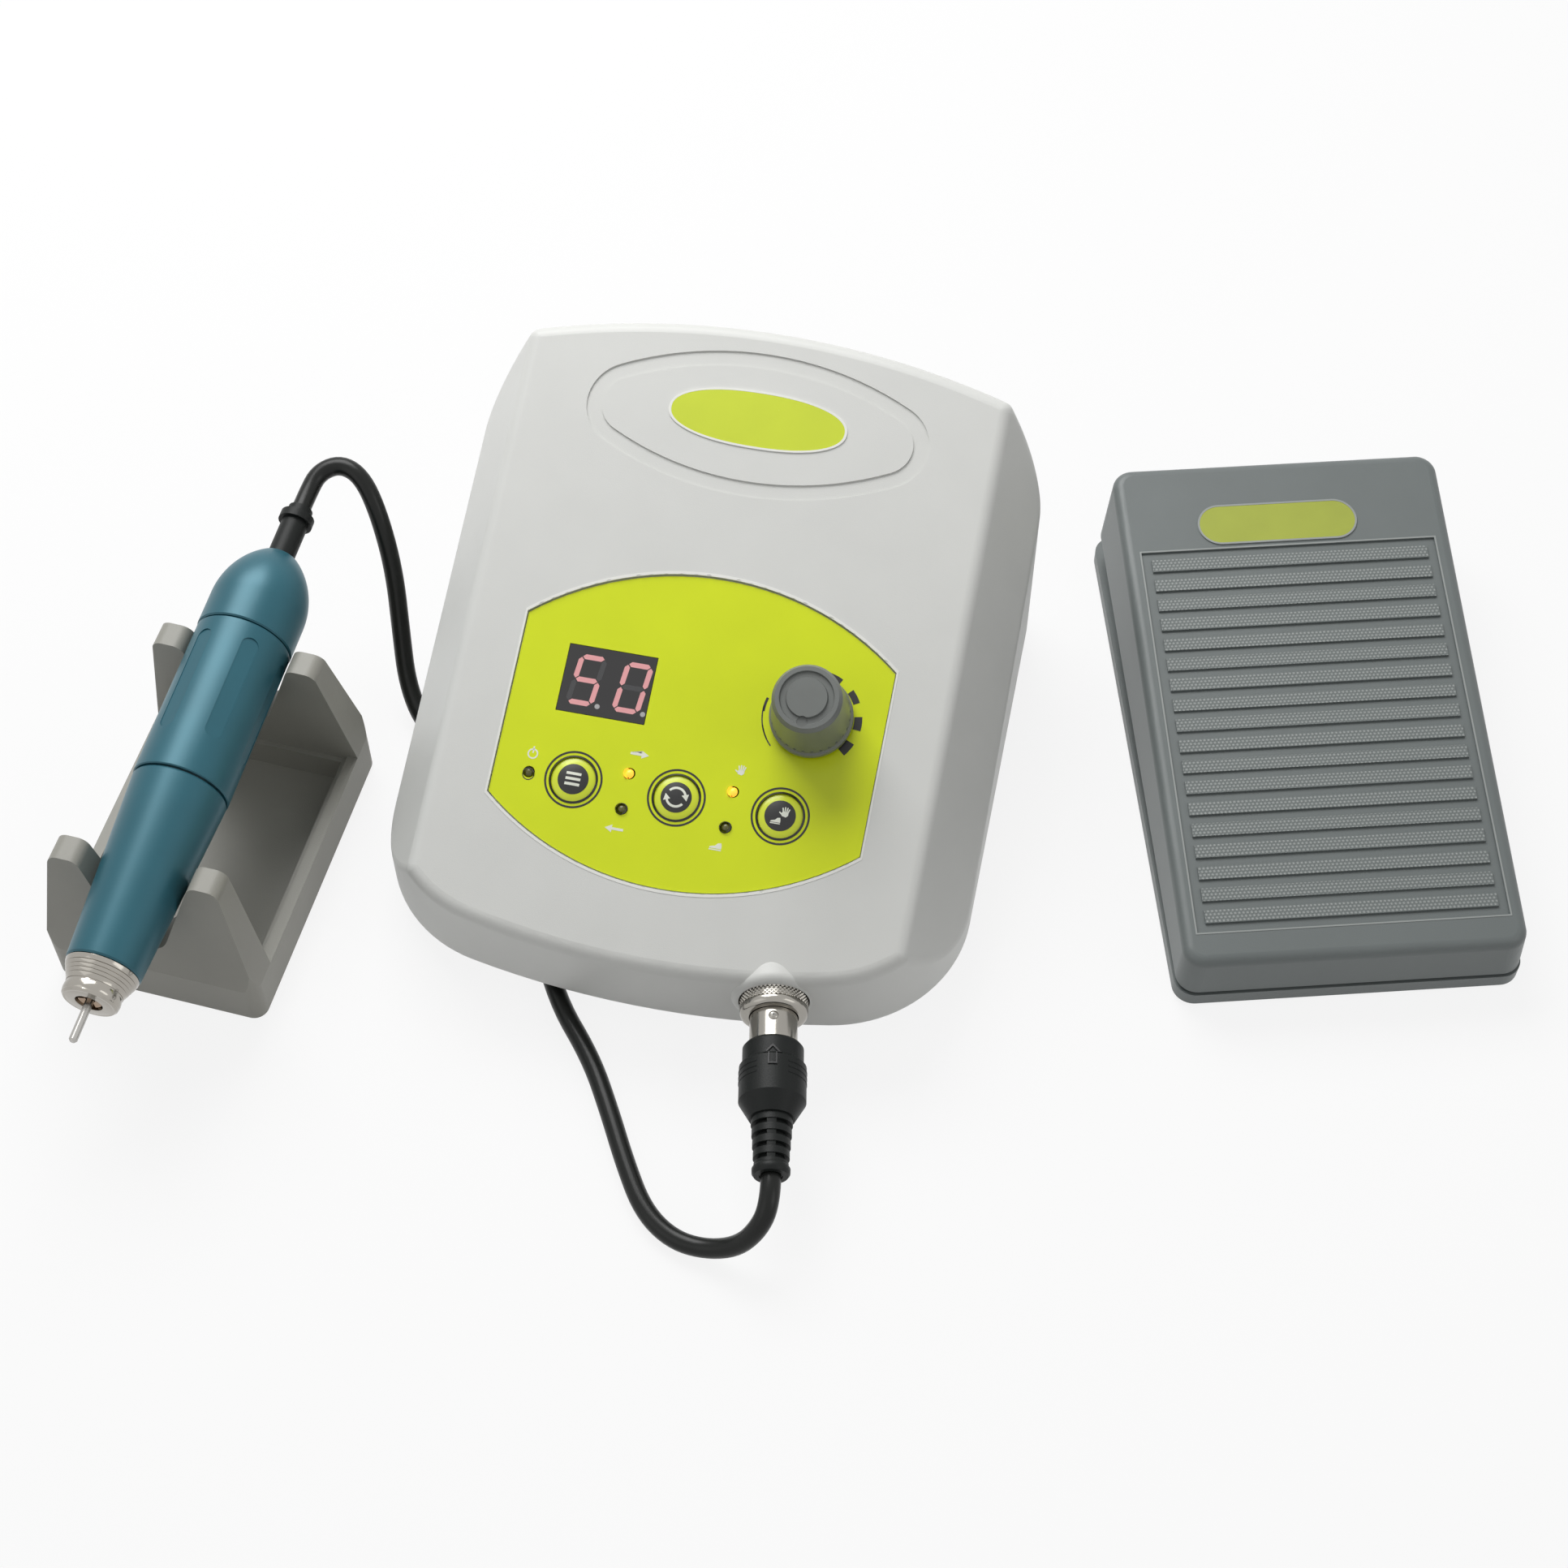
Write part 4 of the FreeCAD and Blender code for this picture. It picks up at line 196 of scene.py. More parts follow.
def piece(name, body, mesh, mat, smooth=True, place=None):
    """An object from a bmesh: place goes into its vertices, and it rides on a body if one is named."""
    data = bpy.data.meshes.new(name)
    if place is not None:
        mesh.transform(place)
    bmesh.ops.recalc_face_normals(mesh, faces=mesh.faces)
    mesh.to_mesh(data)
    mesh.free()
    obj = bpy.data.objects.new(name, data)
    bpy.context.scene.collection.objects.link(obj)
    data.materials.append(mat)
    if smooth:
        data.shade_smooth()
        data.set_sharp_from_angle(angle=math.radians(35))
    if body:
        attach(obj, body)
    return obj


# Cord: from the handpiece to the floor, a coil behind the console, and on under it to the plug

# Metres: its length and width
CORD_LENGTH, CORD_WIDTH = 1.19, 0.0055
# Millimetres of the console's own frame
LEAD = [(-128.28, 27.46, 56.39), (-127.97, 33.44, 56.8), (-126.6, 40.4, 58.6), (-120.6, 43.9, 60.0),
        (-113.4, 41.3, 58.4), (-107.0, 34.0, 50.5), (-101.8, 25.5, 36.5), (-98.8, 16.0, 21.0),
        (-95.4, 6.2, 9.0), (-88.5, -3.0, 3.2), (-78.0, -9.3, 2.85), (-66.0, -7.0, 2.85),
        (-57.5, 5.0, 2.85), (-54.0, 26.0, 2.85), (-51.0, 54.0, 2.85), (-49.0, 80.0, 2.85),
        (-53.1, 103.0, 2.85), (-53.1, 120.0, 2.85)]
TAIL = [(13.1, 120.0, 9.25), (13.1, 107.0, 9.25), (13.1, 95.0, 3.4), (12.0, 80.0, 2.85),
        (7.0, 56.0, 2.85), (-3.0, 26.0, 2.85), (-17.0, -4.0, 2.85), (-32.0, -34.0, 2.85),
        (-38.0, -62.0, 2.85), (-26.0, -86.0, 2.85), (-12.0, -102.0, 2.85), (-3.0, -117.0, 2.85),
        (5.0, -131.5, 2.85), (13.0, -144.0, 2.85), (22.5, -150.6, 2.85), (32.5, -152.0, 4.0),
        (41.5, -151.5, 9.5), (46.7, -147.6, 17.8), (47.25, -141.3, 22.0), (46.18, -135.9, 22.0)]
COIL_MIDDLE, COIL_OUTER, COIL_INNER = (-20, 125.5), 33.1, 21.9
COIL_LOW, COIL_HIGH = 2.85, 9.25
COIL_STEPS = 14


def coil_turns():
    """The coil behind the console: one and a half turns inward, a climb, and one and a half outward."""
    points = []
    x, y = COIL_MIDDLE
    narrowing, climb = COIL_OUTER - COIL_INNER, COIL_HIGH - COIL_LOW
    for k in range(1, int(3.5 * COIL_STEPS)):
        t = k / COIL_STEPS
        if t <= 1.5:
            radius, z = COIL_OUTER - narrowing * t / 1.5, COIL_LOW
        elif t <= 2:
            radius, z = COIL_INNER, COIL_LOW + climb * (1 - math.cos(math.pi * (t - 1.5) / 0.5)) / 2
        else:
            radius, z = COIL_INNER + narrowing * (t - 2) / 1.5, COIL_HIGH
        angle = math.pi - 2 * math.pi * t
        points.append((x + radius * math.cos(angle), y + radius * math.sin(angle), z))
    return points


def route_curve(name, points):
    data = bpy.data.curves.new(name, "CURVE")
    data.dimensions = "3D"
    line = data.splines.new("NURBS")
    line.points.add(len(points) - 1)
    for spot, p in zip(line.points, points):
        spot.co = (*(Vector(p) * MM + LAYOUT), 1)
    line.order_u = 3
    line.use_endpoint_u = True
    line.resolution_u = 6
    obj = bpy.data.objects.new(name, data)
    bpy.context.scene.collection.objects.link(obj)
    return obj


def build_cord():
    obj = route_curve("handpiece_cord", LEAD + coil_turns() + TAIL)
    bare = bpy.data.meshes.new_from_object(obj)
    obj.data.bevel_depth = CORD_WIDTH / 2
    obj.data.bevel_resolution = 5
    depsgraph = bpy.context.evaluated_depsgraph_get()
    tube = bpy.data.meshes.new_from_object(obj.evaluated_get(depsgraph))
    bpy.data.objects.remove(obj)
    tube.materials.clear()
    tube.materials.append(MATS["cord_black"])
    tube.shade_smooth()
    cord = bpy.data.objects.new("handpiece_cord", tube)
    bpy.context.scene.collection.objects.link(cord)
    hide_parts("cord_lead", "cord_coil", "cord_tail")
    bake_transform(cord)


# Flat drawings in a frame's millimetres, and the solids made from them

TREES = {}
RAY_LENGTH = 0.12


def surface(names):
    """A search tree over the faces of some nodes."""
    if names not in TREES:
        verts, faces = [], []
        for name in names:
            start = len(verts)
            mesh = NODES[name].data
            verts += [v.co.copy() for v in mesh.vertices]
            faces += [[start + i for i in p.vertices] for p in mesh.polygons]
        TREES[names] = BVHTree.FromPolygons(verts, faces)
    return TREES[names]


def moved(points, u, v):
    return [(u + x, v + y) for x, y in points]


def draw(mesh, points):
    mesh.faces.new([mesh.verts.new((x, y, 0)) for x, y in points])


def arc(x, y, radius, start, end, steps=24):
    angles = [math.radians(start + (end - start) * k / steps) for k in range(steps + 1)]
    return [(x + radius * math.cos(a), y + radius * math.sin(a)) for a in angles]


def circle(x, y, radius, steps):
    return arc(x, y, radius, 0, 360, steps)[:-1]


def draw_strip(mesh, inner, outer, closed=False):
    """A strip of faces between two lines of as many points."""
    a = [mesh.verts.new((x, y, 0)) for x, y in inner]
    b = [mesh.verts.new((x, y, 0)) for x, y in outer]
    for k in range(len(a) - (0 if closed else 1)):
        n = (k + 1) % len(a)
        mesh.faces.new((a[k], b[k], b[n], a[n]))


def draw_ring(mesh, x, y, inner, outer, steps=72):
    draw_strip(mesh, circle(x, y, inner, steps), circle(x, y, outer, steps), closed=True)


def laid(name, body, mesh, place, over, mat, lift=0.06, sink=0.05, step=1.2, reach=0.03):
    """Lays a flat drawing on the nodes below it, as a thin closed solid: lift above them, sink into them.

    The rays that look for the nodes start reach, in metres, above the drawing."""
    bmesh.ops.triangulate(mesh, faces=mesh.faces)
    for _ in range(6):
        long = [e for e in mesh.edges if e.calc_length() > step]
        if not long:
            break
        bmesh.ops.subdivide_edges(mesh, edges=long, cuts=1)
        bmesh.ops.triangulate(mesh, faces=[f for f in mesh.faces if len(f.verts) > 3])
    tree = surface(over)
    down = -(place.to_3x3() @ Z).normalized()
    for v in mesh.verts:
        v.co = place @ (v.co * MM)
        hit = tree.ray_cast(v.co - down * reach, down, RAY_LENGTH)[0]
        v.co = (hit if hit is not None else v.co) + down * sink * MM
    made = bmesh.ops.extrude_face_region(mesh, geom=mesh.faces[:], use_keep_orig=True)
    for v in [g for g in made["geom"] if isinstance(g, bmesh.types.BMVert)]:
        v.co -= down * (lift + sink) * MM
    return piece(name, body, mesh, mat)


def lathe(name, body, profile, place, mat, steps=72, start=0, end=360):
    """A closed outline of radius and height turned about a frame's own axis, fully or in part."""
    mesh = bmesh.new()
    whole = end - start >= 360
    count = steps if whole else steps + 1
    rings = []
    for k in range(count):
        a = math.radians(start + (end - start) * k / steps)
        rings.append([mesh.verts.new(Vector((r * math.cos(a), r * math.sin(a), z)) * MM) for r, z in profile])
    for k in range(steps):
        a, b = rings[k], rings[(k + 1) % count]
        for i in range(len(profile)):
            n = (i + 1) % len(profile)
            mesh.faces.new((a[i], a[n], b[n], b[i]))
    if not whole:
        mesh.faces.new(rings[0])
        mesh.faces.new(rings[-1])
    bmesh.ops.remove_doubles(mesh, verts=mesh.verts, dist=1e-7)
    bmesh.ops.dissolve_degenerate(mesh, edges=mesh.edges, dist=1e-8)
    return piece(name, body, mesh, mat, place=place)


def knurled(name, body, place, around, along, spot, mat, wrap=True):
    """Small pyramids in diamonds over a turned surface: low points and peaks take turns over a grid.

    spot(a, b, high) gives a point from its shares round and along, and from high: 1 for a peak,
    0 for a low point and -1 for the inside."""
    mesh = bmesh.new()
    columns = around if wrap else around + 1
    keys = [(i, j) for i in range(columns) for j in range(along + 1)]
    grid = {(i, j): mesh.verts.new(spot(i / around, j / along, (i + j) % 2)) for i, j in keys}
    inner = {(i, j): mesh.verts.new(spot(i / around, j / along, -1)) for i, j in keys}

    def at(table, i, j):
        return table.get((i % columns if wrap else i, j))
    for i in range(around):
        for j in range(along):
            quad = [(i, j), (i + 1, j), (i + 1, j + 1), (i, j + 1)]
            if (i + j) % 2:
                quad = quad[1:] + quad[:1]
            a, b, c, d = [at(grid, *q) for q in quad]
            mesh.faces.new((a, b, c))
            mesh.faces.new((a, c, d))
            mesh.faces.new([at(inner, *q) for q in quad])
    for j in (0, along):
        for i in range(around):
            mesh.faces.new((at(grid, i, j), at(grid, i + 1, j), at(inner, i + 1, j), at(inner, i, j)))
    if not wrap:
        for i in (0, around):
            for j in range(along):
                mesh.faces.new((at(grid, i, j), at(grid, i, j + 1), at(inner, i, j + 1), at(inner, i, j)))
    return piece(name, body, mesh, mat, smooth=False, place=place)


# The console's panel, in millimetres across it from the middle and up its slope from the row of buttons

FACE = ("fascia_overlay", "console_cover", "display_window")
FASCIA_SIDE, FASCIA_BOW, FASCIA_TOP, FASCIA_LOW = 52.4, 83, 45.3, -7.5
BUTTONS = {"mode_button": ("mode_key", -29.55), "direction_button": ("direction_key", -0.45),
           "control_button": ("control_key", 28.65)}
BUTTON_DISC = 4.3
# Two black rings round each button: the outer one is print, the inner one lies over the gap round the button as
# painted shade.
BUTTON_PRINT_AND_GAP_SHADE = ((7.55, 8.12), (6.3, 6.85))
KNOB_AT = (31.8, 28.7)
LEVEL_MARKS, LEVEL_FIRST, LEVEL_STEP, LEVEL_HALF = 8, -31, 34, 8.5
LEVEL_RADIUS, LEVEL_DEEP, LEVEL_LESS = 13.9, 2.5, 0.3
LAMPS_LIT = ((-14.8, 4.4), (14.4, 4.4))
LAMPS_DARK = ((-42.2, -0.65), (-14.8, -5.75), (14.4, -5.75))
LAMP_RADIUS = 1.42
DISPLAY_AT = (-26.1, 28.4)
POWER_SIGN_AT = (-42.2, 5.2)
ARROWS = ((-12.9, 10.2, 1), (-15.6, -11.6, -1))
TOP_BADGE_Y = 111.4


def barrel(inset):
    """The fascia's outline: straight sides between two bowed ends."""
    side, bow = FASCIA_SIDE - inset, FASCIA_BOW - inset
    angle = math.degrees(math.acos(side / bow))
    rise = math.sqrt(bow ** 2 - side ** 2)
    top = arc(0, FASCIA_TOP - inset - rise, bow, angle, 180 - angle, 40)
    return top + arc(0, FASCIA_LOW + inset + rise, bow, 180 + angle, 360 - angle, 40)


def oval(wide, high, y, power=2.25, steps=96):
    points = []
    for k in range(steps):
        a = 2 * math.pi * k / steps
        c, s = math.cos(a), math.sin(a)
        points.append((wide * math.copysign(abs(c) ** (2 / power), c),
                       y + high * math.copysign(abs(s) ** (2 / power), s)))
    return points


def hand_shape(x, y, k):
    """A plain open hand: a palm, four fingers and a thumb."""
    palm = [(-1.3, -1.6), (0.6, -2.0), (1.5, -1.1), (1.5, 0.3), (-1.0, 0.6), (-1.6, -0.4)]
    shapes = [palm]

    def finger(x0, y0, lean, outline):
        c, s = math.cos(math.radians(lean)), math.sin(math.radians(lean))
        shapes.append([(x0 + a * c - b * s, y0 + a * s + b * c) for a, b in outline])
    for px, lean, long in ((-0.85, 14, 1.9), (-0.1, 4, 2.3), (0.62, -6, 2.2), (1.22, -18, 1.7)):
        finger(px, 0.2, lean, ((-0.28, 0), (0.28, 0), (0.28, long), (0, long + 0.25), (-0.28, long)))
    finger(-1.2, -1.0, 52, ((-0.3, 0), (0.3, 0), (0.28, 1.6), (0, 1.85), (-0.28, 1.6)))
    return [[(x + a * k, y + b * k) for a, b in shape] for shape in shapes]


def shoe_shape(x, y, k):
    """A plain shoe seen from the side, with its sole."""
    upper = [(-2.2, -0.55), (2.2, -0.55), (2.2, 0.5), (1.9, 1.7), (0.7, 1.5), (-0.2, 0.5),
             (-1.4, 0.2), (-2.2, -0.1)]
    sole = [(-2.3, -1.25), (2.2, -1.25), (2.2, -0.8), (-2.3, -0.8)]
    return [[(x + a * k, y + b * k) for a, b in shape] for shape in (upper, sole)]


def build_fascia_print():
    # A pale rim just outside the fascia, paler than the cover's plastic: painted edge highlight.
    rim = bmesh.new()
    draw_strip(rim, barrel(0.0), barrel(-0.55), closed=True)
    laid("fascia_rim", "console", rim, PANEL, ("console_cover",), MATS["edge_pale"], lift=0.12)
    black = bmesh.new()
    for _, u in BUTTONS.values():
        for inner, outer in BUTTON_PRINT_AND_GAP_SHADE:
            draw_ring(black, u, 0, inner, outer)
    for k in range(LEVEL_MARKS):
        middle = LEVEL_FIRST + LEVEL_STEP * k
        ends = middle - LEVEL_HALF, middle + LEVEL_HALF
        inner = LEVEL_RADIUS - (LEVEL_DEEP - LEVEL_LESS * k)
        draw_strip(black, arc(*KNOB_AT, inner, *ends, 6), arc(*KNOB_AT, LEVEL_RADIUS, *ends, 6))
    draw_strip(black, *[arc(*KNOB_AT, LEVEL_RADIUS - less, 175, 225, 16) for less in (0.35, 0)])
    laid("fascia_black_print", "console", black, PANEL, FACE, MATS["print_black"], lift=0.05)
    pale = bmesh.new()
    arrow = ((-2.6, -0.35), (0.6, -0.35), (0.6, -1.1), (2.6, 0), (0.6, 1.1), (0.6, 0.35), (-2.6, 0.35))
    for u, v, way in ARROWS:
        draw(pale, [(u + x * way, v + y) for x, y in arrow])
    draw_ring(pale, *POWER_SIGN_AT, 1.1, 1.5, 32)
    draw(pale, moved([(-0.2, 0.2), (0.2, 0.2), (0.2, 2.1), (-0.2, 2.1)], *POWER_SIGN_AT))
    for shape in hand_shape(15.6, 10.6, 0.62) + shoe_shape(12.9, -11.6, 0.75):
        draw(pale, shape)
    laid("fascia_pale_print", "console", pale, PANEL, FACE, MATS["print_white"], lift=0.05)


def turning_arrows():
    """Two arcs that chase each other, and their heads."""
    arcs, heads = [], []
    for turn in (0, 180):
        ends = turn + 20, turn + 142
        arcs.append((arc(0, 0, 2.3, *ends, 14), arc(0, 0, 2.95, *ends, 14)))
        c, s = math.cos(math.radians(ends[0])), math.sin(math.radians(ends[0]))
        tip = [(2.62 + a, b) for a, b in ((-1.0, 0.1), (1.0, 0.1), (0, -1.7))]
        heads.append([(x * c - y * s, x * s + y * c) for x, y in tip])
    return heads, arcs


def build_button_caps():
    bars = [[(-2.1, y - 0.38), (2.1, y - 0.38), (2.1, y + 0.38), (-2.1, y + 0.38)] for y in (-1.5, 0, 1.5)]
    glyphs = {"mode_button": (bars, []), "direction_button": turning_arrows(),
              "control_button": (hand_shape(1.25, 0.95, 0.62) + shoe_shape(-0.95, -1.7, 0.62), [])}
    for node, (body, u) in BUTTONS.items():
        disc, glyph = bmesh.new(), bmesh.new()
        draw(disc, circle(u, 0, BUTTON_DISC, 60))
        shapes, strips = glyphs[node]
        for shape in shapes:
            draw(glyph, moved(shape, u, 0))
        for inner, outer in strips:
            draw_strip(glyph, moved(inner, u, 0), moved(outer, u, 0))
        for name, mesh, mat, lift in (("disc", disc, "print_black", 0.05),
                                      ("glyph", glyph, "print_white", 0.1)):
            laid(f"{node}_{name}", body, mesh, PANEL, (node,), MATS[mat],
                 lift=lift, step=0.9)


def build_display():
    """Two seven-segment figures, a five and a nought, each with its point."""
    wide, high, thick, slant, gap = 4.0, 7.35, 1.45, math.tan(math.radians(6)), 0.22
    u, v = DISPLAY_AT

    def bar(x0, y0, x1, y1):
        """A segment with pointed ends from one corner of the figure to the next."""
        long = math.hypot(x1 - x0, y1 - y0)
        ax, ay = (x1 - x0) / long, (y1 - y0) / long
        h = thick / 2
        ends = [(gap, 0), (h + gap, h), (long - h - gap, h),
                (long - gap, 0), (long - h - gap, -h), (h + gap, -h)]
        return [(x0 + ax * a - ay * b, y0 + ay * a + ax * b) for a, b in ends]
    x, y = wide - thick / 2, high - thick / 2
    segments = {"a": (-x, y, x, y), "b": (x, y, x, 0), "c": (x, 0, x, -y), "d": (-x, -y, x, -y),
                "e": (-x, 0, -x, -y), "f": (-x, y, -x, 0), "g": (-x, 0, x, 0)}
    lit, dark, points = bmesh.new(), bmesh.new(), bmesh.new()
    for centre, on in ((-5.85, "acdfg"), (7.3, "abcdef")):
        for key, ends in segments.items():
            draw(lit if key in on else dark, [(u + centre + a + b * slant, v + b) for a, b in bar(*ends)])
    for x in (-1.35, 11.6):
        draw(points, circle(u + x, v - 6.9, 0.72, 24))
    for name, mesh, mat, lift in (("lit_segments", lit, "segment_lit", 0.04),
                                  ("dark_segments", dark, "display_grey", 0.03),
                                  ("points", points, "magnet", 0.05)):
        laid(f"display_{name}", "console", mesh, PANEL, ("display_window",), MATS[mat],
             lift=lift)


def build_lamps():
    lit, rims = bmesh.new(), bmesh.new()
    for u, v in LAMPS_LIT:
        draw(lit, circle(u, v, LAMP_RADIUS, 32))
    laid("lamps_lit", "console", lit, PANEL, ("status_lamps", "fascia_overlay"), MATS["lamp_lit"],
         lift=0.08, step=0.6)
    # Black rings round the unlit lamps: painted shade in the recess round each lamp.
    for u, v in LAMPS_DARK:
        draw_ring(rims, u, v, LAMP_RADIUS + 0.03, LAMP_RADIUS + 0.3, 36)
    laid("lamp_recess_shade", "console", rims, PANEL, FACE, MATS["print_black"], lift=0.04)


def build_top_badge():
    badge, rim = bmesh.new(), bmesh.new()
    draw(badge, oval(25.2, 8.2, TOP_BADGE_Y))
    laid("top_badge", "console", badge, PANEL, ("console_cover",), MATS["badge_lime"],
         lift=0.3, step=3)
    # A pale rim round the badge, paler than the cover's plastic: painted edge highlight.
    draw_strip(rim, oval(25.0, 8.0, TOP_BADGE_Y), oval(25.7, 8.6, TOP_BADGE_Y), closed=True)
    laid("top_badge_rim", "console", rim, PANEL, ("console_cover",), MATS["edge_pale"],
         lift=0.34, step=3)


def build_seam():
    """A fine pale line near the cover's lower edge, along a stretch of the front only: a painted highlight along
    the seam.

    A cut through the cover gives several chains of edges, and the widest one found is drawn. The search
    starts at any vertex of a set, so the stretch's length and its face of the wall vary between runs."""
    level, cut_above = 26.0 * MM, 0.2 * MM
    cover = bmesh.new()
    cover.from_mesh(NODES["console_cover"].data)
    bmesh.ops.bisect_plane(cover, geom=cover.verts[:] + cover.edges[:] + cover.faces[:], dist=1e-7,
                           plane_co=(0, 0, level + cut_above), plane_no=(0, 0, 1),
                           clear_outer=True, clear_inner=True)
    links = {}
    for e in cover.edges:
        a, b = e.verts
        links.setdefault(a, []).append(b)
        links.setdefault(b, []).append(a)
    loops = []
    left = set(links)
    while left:
        chain = [left.pop()]
        while True:
            step = [v for v in links[chain[-1]] if v in left]
            if not step:
                break
            chain.append(step[0])
            left.discard(step[0])
        loops.append(chain)
    outer = max(loops, key=lambda c: max(v.co.x for v in c) - min(v.co.x for v in c))
    data = bpy.data.curves.new("seam_path", "CURVE")
    data.dimensions = "3D"
    line = data.splines.new("POLY")
    line.points.add(len(outer) - 1)
    for spot, v in zip(line.points, outer):
        spot.co = (v.co.x, v.co.y, level, 1)
    line.use_cyclic_u = True
    data.bevel_depth = 0.22 * MM
    data.bevel_resolution = 1
    curve = bpy.data.objects.new("seam_path", data)
    bpy.context.scene.collection.objects.link(curve)
    tube = bpy.data.meshes.new_from_object(curve.evaluated_get(bpy.context.evaluated_depsgraph_get()))
    bpy.data.objects.remove(curve)
    cover.free()
    mesh = bmesh.new()
    mesh.from_mesh(tube)
    piece("case_seam_highlight", "console", mesh, MATS["edge_pale"])


# The pedal, in millimetres across it and from its front end

PEDAL_LONG, PEDAL_FRONT, PEDAL_REAR = 164, 21.5, 42
PEDAL_REACH = 0.07
BADGE_AT, BADGE_HALF, BADGE_ROUND = (-2, 140), 17, 6.3
TREAD_LONG, TREAD_BARS, TREAD_GAP = 122.5, 18, 2.6
BAR_HALF, TREAD_HALF = 40.9, 43.6
DOT_PITCH = 1.15
# A wave texture of scale 1 has its stripes this far apart
WAVE_STRIPE = 2 * math.pi / 20


def tread_material():
    """Moulded dots in staggered rows, with painted highlights on their tops and painted shade between them: three
    sets of stripes that cross.
    """
    mat = material("tread dots", (0.2, 0.22, 0.215), 0.45, vary=0.03)
    tree = mat.node_tree
    shader = tree.nodes["Principled BSDF"]
    where = tree.nodes["Texture Coordinate"]
    heights = []
    for turn in (30, 90, 150):
        wave = tree.nodes.new("ShaderNodeTexWave")
        wave.inputs["Scale"].default_value = WAVE_STRIPE / (DOT_PITCH * MM * math.cos(math.radians(30)))
        turned_by = tree.nodes.new("ShaderNodeMapping")
        turned_by.inputs["Rotation"].default_value = (0, 0, math.radians(-PEDAL_TURN - turn))
        tree.links.new(where.outputs["Object"], turned_by.inputs["Vector"])
        tree.links.new(turned_by.outputs["Vector"], wave.inputs["Vector"])
        heights.append(wave.outputs["Fac"])
    total = heights[0]
    for other in heights[1:]:
        add = tree.nodes.new("ShaderNodeMath")
        tree.links.new(total, add.inputs[0])
        tree.links.new(other, add.inputs[1])
        total = add.outputs[0]
    third = tree.nodes.new("ShaderNodeMath")
    third.operation = "DIVIDE"
    third.inputs[1].default_value = 3
    tree.links.new(total, third.inputs[0])
    # Painted highlight on the dots' tops and painted shade between them, in one plastic.
    tone = tree.nodes.new("ShaderNodeValToRGB")
    top, between = tone.color_ramp.elements
    top.position, between.position = 0.2, 0.5
    top.color = (0.29, 0.31, 0.3, 1)
    between.color = (0.145, 0.163, 0.16, 1)
    tree.links.new(third.outputs[0], tone.inputs["Fac"])
    tree.links.new(tone.outputs["Color"], shader.inputs["Base Color"])
    bump = tree.nodes.new("ShaderNodeBump")
    bump.invert = True
    bump.inputs["Strength"].default_value = 0.5
    bump.inputs["Distance"].default_value = 0.3 * MM
    tree.links.new(third.outputs[0], bump.inputs["Height"])
    tree.links.new(bump.outputs["Normal"], shader.inputs["Normal"])
    return mat


def build_tread():
    low = (PEDAL_LONG - TREAD_LONG) * 0.25
    flat = math.cos(math.atan((PEDAL_REAR - PEDAL_FRONT) / PEDAL_LONG))
    pitch = (TREAD_LONG - TREAD_GAP) / TREAD_BARS
    dots, line = bmesh.new(), bmesh.new()
    for k in range(TREAD_BARS):
        y0, y1 = (low + TREAD_GAP + pitch * k) * flat + 0.08, (low + pitch * (k + 1)) * flat - 0.08
        draw(dots, [(-BAR_HALF, y0), (BAR_HALF, y0), (BAR_HALF, y1), (-BAR_HALF, y1)])

    def outline(grow):
        y0, y1 = (low - grow) * flat, (low + TREAD_LONG + grow) * flat
        x = TREAD_HALF + grow
        return [(-x, y0), (x, y0), (x, y1), (-x, y1)]
    # The tread's raised outline is real; its grey, paler than the pedal's plastic, is a painted edge highlight.
    draw_strip(line, outline(0.1), outline(0.55), closed=True)
    for name, mesh, mat in (("tread_dots", dots, tread_material()), ("tread_outline_highlight", line, MATS["edge_grey"])):
        laid(name, "treadle", mesh, PEDAL, ("pedal_cover",), mat,
             lift=0.12, step=12, reach=PEDAL_REACH)


def build_pedal_badge():
    plate, edge = bmesh.new(), bmesh.new()
    u, v = BADGE_AT

    def stadium(grow):
        radius = BADGE_ROUND + grow
        return arc(u + BADGE_HALF, v, radius, -90, 90) + arc(u - BADGE_HALF, v, radius, 90, 270)
    draw(plate, stadium(0))
    laid("pedal_badge", "treadle", plate, PEDAL, ("pedal_cover",), MATS["badge_olive"],
         lift=0.35, step=3, reach=PEDAL_REACH)
    # A grey rim round the badge, paler than the pedal's plastic: painted edge highlight.
    draw_strip(edge, stadium(-0.1), stadium(0.45), closed=True)
    laid("pedal_badge_rim", "treadle", edge, PEDAL, ("pedal_cover",), MATS["edge_grey"],
         lift=0.42, step=3, reach=PEDAL_REACH)


def build_pedal_buffers():
    """Two ribbed rubber buffers on the pedal's plate, as tall as its springs, which they stand in for."""
    inside = [PEDAL.inverted() @ v.co for v in NODES["pedal_springs"].data.vertices]
    low, high = min(p.z for p in inside), max(p.z for p in inside)
    wide = max(p.x for p in inside) - 7 * MM
    deep = (max(p.y for p in inside) + min(p.y for p in inside)) / 2
    rows, around, rib = 48, 40, 12
    angles = [2 * math.pi * i / around for i in range(around)]
    mesh = bmesh.new()
    for side in (-1, 1):
        x, rings = side * wide, []
        for k in range(rows + 1):
            radius = (6.5 - 0.5 * math.cos(2 * math.pi * k / rib)) * MM
            height = low + (high - low) * k / rows
            rings.append([mesh.verts.new((x + radius * math.cos(a), deep + radius * math.sin(a), height))
                          for a in angles])
        for a, b in zip(rings, rings[1:]):
            for i in range(around):
                n = (i + 1) % around
                mesh.faces.new((a[i], a[n], b[n], b[i]))
        mesh.faces.new(rings[0])
        mesh.faces.new(rings[-1])
    buffers = piece("pedal_buffers", None, mesh, MATS["rubber_black"], place=PEDAL)
    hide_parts("pedal_springs")
    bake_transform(buffers)


# The plug, in the socket's frame: its axis is z, the nut's face is near 5

